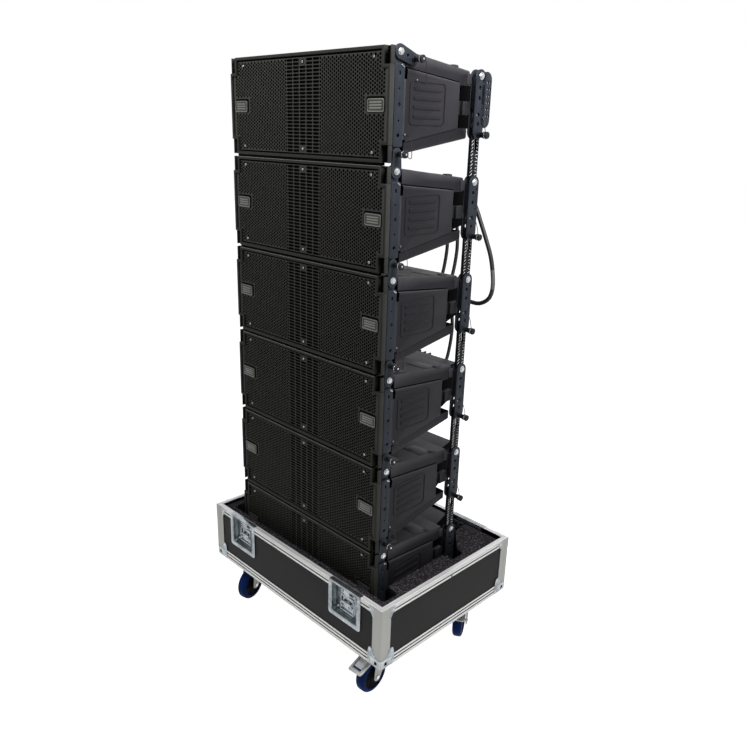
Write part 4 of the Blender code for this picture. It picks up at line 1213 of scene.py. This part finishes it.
def grooved(low, high, ribs, inner):
    """A skirt's profile: ribs with round tops and grooves between them, from low to high."""
    pitch = (high - low) / ribs
    outside = []
    for k in range(ribs):
        start = low + k * pitch
        outside += [
            (-0.0021, start + 0.14 * pitch), (-0.0005, start + 0.18 * pitch), (0.0, start + 0.28 * pitch),
            (0.0, start + 0.72 * pitch), (-0.0005, start + 0.82 * pitch), (-0.0021, start + 0.86 * pitch),
        ]
    return [(inner, low), *outside, (inner, high)]


CORNERS = [(side, end) for side in (-1, 1) for end in (-1, 1)]


def flip(shape, side, end):
    """Sends a shape drawn for the right rear corner to another corner."""
    bmesh.ops.scale(shape, vec=(side, end, 1), verts=shape.verts)
    if side * end < 0:
        bmesh.ops.reverse_faces(shape, faces=shape.faces)
    return shape


def both_walls(outline, proud, thick, bevel=0.0006):
    """A plate drawn as (distance from the corner, z), laid on each wall of the right rear corner."""
    on_x = prism([[(CASE_Y - d, z) for d, z in outline]], "X", (CASE_X - thick, CASE_X + proud), bevel, 2)
    on_y = prism([[(CASE_X - d, z) for d, z in outline]], "Y", (CASE_Y - thick, CASE_Y + proud), bevel, 2)
    return on_x, on_y


def wall_screws(distance, z, proud, radius):
    """A screw in each wall of the right rear corner, this far from it."""
    on_x = screw((CASE_X + proud, CASE_Y - distance, z), "X", 1, radius)
    on_y = screw((CASE_X - distance, CASE_Y + proud, z), "Y", 1, radius)
    return on_x, on_y


def corner_block(inwards, outwards, z, bevel=0.0, segments=2):
    """A block at the right rear corner, from this far inside the walls to this far outside."""
    x, y = ((wall - inwards, wall + outwards) for wall in (CASE_X, CASE_Y))
    return block(x, y, z, bevel, segments)


def latch_dish(side, end):
    """A pressed dish in a long wall, with the latch's plate, hook and rivets fixed in it."""
    piece = Piece()
    x, face = LATCH_X, CASE_Y
    floor = face - 0.0147

    def outline(half, z, radius, steps=4, shift=0.0):
        return rounded_rectangle((x + shift - half, x + shift + half), z, radius, steps)

    def plate(outlines, base, low, high, bevel, resolution=2):
        piece.add(prism(outlines, "Y", (base + low, base + high), bevel, resolution), "zinc")

    opening = outline(0.048, (0.2345, 0.3205), 0.006, 5)
    plate([outline(0.062, (0.221, 0.3268), 0.009, 6), opening], face, -0.0008, 0.0015, 0.0008)
    plate([outline(0.0515, (0.231, 0.324), 0.008, 6), opening], face, 0.0005, 0.0015, 0.0005)
    walls = outline(0.0495, (0.233, 0.322), 0.007, 5)
    inside = outline(0.0478, (0.2347, 0.3203), 0.006, 5)
    plate([walls, inside], face, -0.015, 0.0002, 0.0003, 1)
    plate([walls], face, -0.016, -0.0147, 0.0003, 1)
    # lip folded over the rim
    lip = (x - 0.06, x + 0.06), (face - 0.014, face + 0.001), (DRAWN_TOP - 0.0016, DRAWN_TOP)
    piece.add(block(*lip, 0.0006), "zinc")
    # the latch's body, ribs, cheeks and hook
    plate([outline(0.03, (0.24, 0.305), 0.004)], floor, -0.0003, 0.0022, 0.0008)
    for z, half, proud in ((0.2455, 0.027, 0.0058), (0.2915, 0.024, 0.0052), (0.301, 0.02, 0.0066)):
        plate([outline(half, (z - 0.0026, z + 0.0026), 0.0022)], floor, 0.0, proud, 0.001)
    for shift in (-0.0235, 0.0235):
        plate([outline(0.0022, (0.25, 0.288), 0.0018, shift=shift)], floor, 0.0, 0.005, 0.0008)
    plate([outline(0.011, (0.296, 0.319), 0.004)], floor, 0.0045, 0.0072, 0.0008)
    rivets = [(dx, floor, z) for z in (0.243, 0.311) for dx in (-0.04, 0.04)]
    rivets += [(dx, face + 0.0011, z) for z in (0.228, 0.312) for dx in (-0.0555, 0.0555)]
    for dx, y, z in [*rivets, (0.0, face + 0.0011, 0.2262)]:
        piece.add(screw((x + dx, y, z), "Y", 1, RIVET), "steel")
    flip(piece.shape, side, end)
    return piece.mesh()


def butterfly():
    """The latch's two-winged handle about its hub, facing -Y."""
    piece = Piece()
    outline = capsule((-0.013, 0.0), (0.013, 0.0), 0.0088, 0.0088)
    holes = [capsule((s * 0.0105, -0.0012), (s * 0.0155, -0.0012), 0.0028, 0.0028, 5) for s in (-1, 1)]
    wings = prism([outline, *holes], "Y", (-0.0018, 0.0012), 0.0009, 2)
    for corner in wings.verts:
        corner.co.y -= 0.0009 * (corner.co.x / 0.022) ** 2
    piece.add(wings, "zinc")
    hub = [(0.0, -0.0019), (0.004, -0.0019), (0.005, -0.0012), (0.0084, -0.0004), (0.0084, 0.0056),
           (0.0, 0.0056)]
    piece.add(turned(hub, "Y", (0, 0, 0), 28), "zinc")
    return piece.mesh()


def under_top(points):
    """Turns (outward, depth below the top) pairs into a profile for the edging."""
    return [(out, DRAWN_TOP - depth) for out, depth in points]


def case_rim():
    """Top edging with its corner braces."""
    piece = Piece()
    skirt = grooved(DRAWN_TOP - 0.023, DRAWN_TOP - 0.003, 2, -0.003)
    lip = [(-0.0002, 0.0028), (-0.0006, 0.001), (-0.002, 0.0), (-0.0085, 0.0), (-0.01, 0.0008),
           (-0.0145, 0.0008), (-0.0145, 0.0016), (-0.003, 0.0022)]
    rim = edging(skirt[:-1] + under_top(lip), (DRAWN_TOP - 0.022, DRAWN_TOP - 0.005))
    for side, end in CORNERS:
        x = sorted((side * (LATCH_X - 0.0605), side * (LATCH_X + 0.0605)))
        y = sorted((end * 0.24, end * 0.28))
        rim = cut(rim, block(x, y, (0.29, 0.34), 0.0))
    rim = cut(rim, block((0.36, 0.38), (0.003, 0.0085), (0.3, 0.3125), 0.0))
    piece.add(rim, "aluminium", "groove")
    tongue = [(-0.0092, 0.0014), (-0.0092, 0.0002), (-0.0098, 0.0), (-0.0138, 0.0), (-0.0143, 0.0002),
              (-0.0143, 0.0014)]
    piece.add(edging(under_top(tongue)), "tongue")
    ear = [
        (0.029, 0.3262), (0.044, 0.3262), (0.0475, 0.323), (0.047, 0.315), (0.043, 0.308),
        (0.0375, 0.304), (0.0335, 0.297), (0.029, 0.29),
    ]
    for side, end in CORNERS:
        for finish, shapes in (
            ("zinc", both_walls(ear, 0.0012, 0.0006)),
            ("angle", [corner_block(0.0012, 0.0012, (0.293, 0.3264), 0.0009)]),
            ("steel", wall_screws(0.0385, 0.3165, 0.0012, 0.0028)),
        ):
            for shape in shapes:
                piece.add(flip(shape, side, end), finish)
    return piece.mesh()


def case_base():
    """Bottom edging, corner angles, ball corners and the plates over the casters."""
    piece = Piece()
    low = DRAWN_LOW - 0.0015
    skirt = grooved(low + 0.0006, DRAWN_LOW + 0.03, 3, -0.003)
    piece.add(edging([(-0.03, low), (-0.03, low + 0.0014), (-0.0034, low + 0.0014), skirt[-1],
                      *reversed(skirt[1:-1]), (-0.0006, low)], (low + 0.002, DRAWN_LOW + 0.029)),
              "aluminium", "groove")
    angle = [(0.0, 0.172), (0.033, 0.172), (0.033, 0.3262), (0.0, 0.3262)]
    spine = [(0.0, 0.172), (0.015, 0.172), (0.015, 0.3262), (0.0, 0.3262)]
    ear = [
        (0.012, 0.154), (0.042, 0.149), (0.048, 0.153), (0.049, 0.164), (0.048, 0.175),
        (0.047, 0.19), (0.043, 0.201), (0.036, 0.203), (0.03, 0.197), (0.023, 0.182),
        (0.012, 0.176),
    ]
    hole = [(0.011, 0.16), (0.021, 0.1585), (0.019, 0.17), (0.012, 0.168)]
    for side, end in CORNERS:
        ball = corner_block(0.04, 0.0024, (0.148, 0.186), 0.006, 5)
        inner = corner_block(0.06, 0.0009, (0.15, 0.2))
        above = corner_block(0.06, 0.01, (0.177, 0.2))
        pad = rounded_rectangle((0.238, 0.3455), (0.134, 0.239), 0.008)
        bolts = [hexagon((x, y), 0.0058) for x in (0.247, 0.337) for y in (0.143, 0.23)]
        for finish, shapes in (
            ("angle", both_walls(angle, 0.0003, 0.0012)),
            ("angle", both_walls(spine, 0.0008, 0.0006)),
            ("angle", [corner_block(0.0014, 0.0008, (0.172, 0.295), 0.0008)]),
            ("zinc", both_walls(ear, 0.0016, 0.001, 0.0012)),
            # each ear's hole is a near-black patch on it, painted shade in place of a real hole
            ("black", both_walls(hole, 0.00247, -0.002, 0.0001)),
            ("zinc", [cut(ball, inner, above)]),
            ("steel", wall_screws(0.0395, 0.1945, 0.0011, RIVET)),
            ("steel", wall_screws(0.043, 0.158, 0.0011, RIVET)),
            ("zinc", [prism([pad], "Z", (0.1455, 0.1492), 0.0006)]),
            ("steel", [prism([bolt], "Z", (0.1425, 0.1458), 0.0005) for bolt in bolts]),
        ):
            for shape in shapes:
                piece.add(flip(shape, side, end), finish)
    return piece.mesh()


def foam():
    """The foam insert: the cut block, with soft edges and an uneven cut surface."""
    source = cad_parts["case_foam"]
    obj = new_object("foam_block", source.data.copy())
    remesh = obj.modifiers.new("even", "REMESH")
    remesh.mode = "VOXEL"
    remesh.voxel_size = 0.0045
    shape = evaluated(obj)
    for _ in range(2):
        bmesh.ops.smooth_vert(
            shape, verts=shape.verts, factor=0.5, use_axis_x=True, use_axis_y=True, use_axis_z=True
        )
    shape.normal_update()
    coarse, fine, height = 90.0, 260.0, 0.0007
    shifts = []
    for corner in shape.verts:
        rough = noise.noise(corner.co * coarse) + 0.6 * noise.noise(corner.co * fine)
        shifts.append(corner.normal * (height * rough - 0.0006))
    for corner, shift in zip(shape.verts, shifts):
        corner.co += shift
    mesh = bpy.data.meshes.new("foam_insert")
    shape.to_mesh(mesh)
    shape.free()
    mesh.materials.append(FINISH["foam"])
    mesh.shade_smooth()
    made = show("foam_insert", mesh, "case", ["case_foam"])


def case():
    down = (0, 0, CASE_LOW - DRAWN_LOW)
    show("case_rim", case_rim(), "case", ["case_top_trim"], down)
    show("case_base", case_base(), "case", ["case_bottom_trim"], down)
    for end_name, end in (("front", -1), ("rear", 1)):
        for side_name, side in (("left", -1), ("right", 1)):
            label = f"{end_name}_{side_name}"
            show(f"latch_dish_{label}", latch_dish(side, end), "case", (), down)
            at = (side * LATCH_X, end * (CASE_Y - 0.008), LATCH_Z)
            show(f"butterfly_{label}", butterfly(), f"latch_{label}", [f"latch_{label}"], at,
                 0.0 if end < 0 else math.pi)
    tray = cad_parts["case_tray"]
    for slot in tray.material_slots:
        slot.material = FINISH["laminate"]
    foam()


case()


# ---------------------------------------------------------------- casters
def fork():
    """Swivel head, pressed legs and axle, about the swivel axis, trailing towards +X."""
    piece = Piece()
    top = CASE_LOW - 0.0045 - GAP
    head = [(0.0, top - 0.01), (0.0285, top - 0.01), (0.031, top - 0.0085), (0.0345, top - 0.006),
            (0.036, top - 0.003), (0.036, top - 0.0012), (0.035, top), (0.0, top)]
    piece.add(turned(head, "Z", (0, 0, 0), 40), "zinc_dull")
    piece.add(hoop(0.0335, 0.0012, "Z", (0, 0, top - 0.0082), 40, 8), "steel")
    piece.add(prism([rounded_rectangle((-0.022, 0.036), (-0.024, 0.024), 0.007)], "Z",
                    (top - 0.0125, top - 0.0092), 0.0009, 2), "zinc_dull")
    low = [(TRAIL + x, WHEEL_RADIUS + z) for x, z in arc((0, 0), 0.012, -150, 10, 8)]
    leg = [*low, (0.044, 0.08), (0.04, 0.11), (0.038, top - 0.01), (-0.024, top - 0.01),
           (-0.018, 0.12), (0.006, 0.078)]
    bead = [(TRAIL - 0.012, 0.062), (TRAIL - 0.004, 0.06), (0.02, 0.108), (0.002, 0.112)]
    for side in (-1, 1):
        y = sorted((side * 0.021, side * 0.024))
        piece.add(prism([leg], "Y", y, 0.0009, 2), "zinc_dull")
        y = sorted((side * 0.0236, side * 0.0247))
        piece.add(prism([bead], "Y", y, 0.0004, 2), "zinc_dull")
        y = sorted((side * 0.0238, side * 0.0262))
        piece.add(prism([hexagon((TRAIL, WHEEL_RADIUS), 0.0064)], "Y", y, 0.0005, 2), "steel")
    piece.add(turned(bar(0.0045, -0.0255, 0.0255), "Y", (TRAIL, 0, WHEEL_RADIUS), 20), "steel")
    piece.add(turned(bar(0.0025, -0.022, 0.022), "Y", (PEDAL_PIVOT[0], 0, PEDAL_PIVOT[1]), 16), "steel")
    return piece.mesh()


def wheel():
    """A blue elastic tyre on a dark hub, about its own axis along Y."""
    piece = Piece()
    half = 0.016
    tread = [(0.05, -0.0072), (0.0492, -0.0098), (0.047, -0.0122), (0.043, -0.014), (0.0398, -0.0146)]
    outside = tread[::-1] + [(0.05, 0.0)] + [(r, -h) for r, h in tread]
    tyre = [(0.037, -0.0118), (0.0385, -0.0144), *outside, (0.0385, 0.0144), (0.037, 0.0118)]
    piece.add(lathe_ring(tyre), "tyre")
    rim = [(0.0068, 0.0004 - half), (0.015, 0.0004 - half), (0.0168, 0.0016 - half), (0.0188, -0.0122),
           (0.034, -0.0112), (0.0362, -0.0122), (0.0374, -0.012)]
    piece.add(lathe_ring(rim + [(r, -h) for r, h in reversed(rim)]), "hub")
    for k in range(6):
        a = 2 * math.pi * k / 6
        for side in (-1, 1):
            web = block((0.018, 0.0345), sorted((side * 0.0105, side * 0.0128)), (-0.0016, 0.0016), 0.0006)
            piece.add(moved(web, turn=Matrix.Rotation(a, 3, "Y")), "hub")
    return piece.mesh()


def lathe_ring(profile, steps=64):
    """A closed profile of (radius, height) turned about the Y axis."""
    shape = bmesh.new()
    rings = [
        [shape.verts.new((r * math.cos(a), h, r * math.sin(a))) for r, h in profile]
        for a in (2 * math.pi * k / steps for k in range(steps))
    ]
    skin(shape, rings, around=True)
    return shape


def pedal():
    """The pressed brake pedal with its pale pad, in the fork's frame."""
    piece = Piece()
    ear = [
        *arc(PEDAL_PIVOT, 0.006, 118, 260, 8),
        (0.05, 0.1035), (0.092, 0.089), (0.094, 0.0965), (0.05, 0.1125),
    ]
    for side in (-1, 1):
        y = sorted((side * 0.0175, side * 0.019))
        piece.add(prism([ear, circle(PEDAL_PIVOT, 0.0031, 14)], "Y", y, 0.0004), "zinc_dull")
    turn = Matrix.Rotation(PEDAL_SLOPE, 3, "Y")

    def on_tread(shape, *finish):
        moved(shape, (-TREAD_EDGE[0], 0, 0))
        piece.add(moved(shape, (TREAD_EDGE[0], 0, TREAD_EDGE[1]), turn), *finish)

    left = [(0.044, -0.015), (0.056, -0.0215), (0.1044, -0.0225), (0.1074, -0.0195)]
    on_tread(prism([left + [(x, -y) for x, y in reversed(left)]], "Z", (0.0, 0.0022), 0.0008, 2), "zinc_dull")
    border = rounded_rectangle((0.06, 0.099), (-0.0175, 0.0175), 0.003)
    inside = rounded_rectangle((0.063, 0.096), (-0.0145, 0.0145), 0.002)
    on_tread(prism([border, inside], "Z", (0.0018, 0.004), 0.0006, 2), "zinc")
    on_tread(prism([inside], "Z", (0.0018, 0.0026), 0.0002), "tyre")
    pad = rounded_rectangle((0.064, 0.0915), (-0.011, 0.014), 0.0015)
    on_tread(prism([pad], "Z", (0.0018, 0.0062), 0.0008, 2), "pedal_pad")
    on_tread(block((0.1042, 0.1074), (-0.019, 0.019), (0.0006, 0.0044), 0.001), "zinc_dull")
    return piece.mesh()


def casters():
    fork_mesh, wheel_mesh, pedal_mesh = fork(), wheel(), pedal()
    for corner, heading in HEADINGS.items():
        end, side = corner.split("_")
        turn = math.radians(heading)
        x, y = SWIVEL
        at = Vector((x if side == "right" else -x, y if end == "rear" else -y, 0.0))
        hub = at + Vector((TRAIL * math.cos(turn), TRAIL * math.sin(turn), WHEEL_RADIUS))
        show(f"fork_{corner}", fork_mesh, f"caster_{corner}", [f"caster_fork_{corner}"], at, turn)
        show(f"wheel_{corner}", wheel_mesh, f"wheel_{corner}",
             [f"caster_wheel_{corner}"], hub, turn)
        if side == "right":
            show(f"pedal_{corner}", pedal_mesh, f"pedal_{corner}",
                 [f"brake_pedal_{corner}"], at, turn)


casters()


# ---------------------------------------------------------------- floor and light
AMBIENT = {"Is Camera Ray": 1.0, "Is Diffuse Ray": 0.055, "Is Glossy Ray": 0.95}


def ray_strength(tree, weights):
    """A strength that depends on the kind of ray, so that the paper stays white in the picture."""
    rays = tree.nodes.new("ShaderNodeLightPath")
    total = None
    for kind, weight in weights.items():
        scaled = tree.nodes.new("ShaderNodeMath")
        scaled.operation = "MULTIPLY_ADD"
        scaled.inputs[1].default_value = weight
        scaled.inputs[2].default_value = 0.0
        tree.links.new(rays.outputs[kind], scaled.inputs[0])
        if total:
            tree.links.new(total, scaled.inputs[2])
        total = scaled.outputs[0]
    return total


def studio():
    floor = bpy.data.meshes.new("floor")
    shape = bmesh.new()
    bmesh.ops.create_grid(shape, x_segments=1, y_segments=1, size=12.0)
    shape.to_mesh(floor)
    shape.free()
    ground = new_object("studio_floor", floor)
    paper = bpy.data.materials.new("studio_paper")
    paper.use_nodes = True
    shader = paper.node_tree.nodes["Principled BSDF"]
    shader.inputs["Base Color"].default_value = (0.8, 0.8, 0.8, 1.0)
    shader.inputs["Roughness"].default_value = 0.9
    shader.inputs["Emission Color"].default_value = (1.0, 1.0, 1.0, 1.0)
    glow = ray_strength(paper.node_tree, {"Is Camera Ray": 1.0, "Is Glossy Ray": 0.8})
    paper.node_tree.links.new(glow, shader.inputs["Emission Strength"])
    floor.materials.append(paper)

    world = bpy.data.worlds.new("studio")
    bpy.context.scene.world = world
    world.use_nodes = True
    background = world.node_tree.nodes["Background"]
    background.inputs["Color"].default_value = (1.0, 1.0, 1.0, 1.0)
    world.node_tree.links.new(ray_strength(world.node_tree, AMBIENT), background.inputs["Strength"])

    for name, place, aim, size, power in (
        ("key", (-0.15, -0.95, 2.2), (0, -0.2, 1.4), 0.6, 11.0),
        ("side", (1.15, -0.1, 2.1), (0.25, 0.05, 1.45), 0.6, 19.0),
        ("rear", (0.6, 2.8, 2.6), (0, 0.1, 0.9), 1.6, 16.0),
    ):
        data = bpy.data.lights.new(name, "AREA")
        data.shape = "DISK"
        data.size = size
        data.energy = power
        lamp = new_object(name, data)
        lamp.location = place
        lamp.rotation_euler = (Vector(aim) - Vector(place)).to_track_quat("-Z", "Y").to_euler()
    bpy.context.scene.view_settings.view_transform = "Standard"


studio()
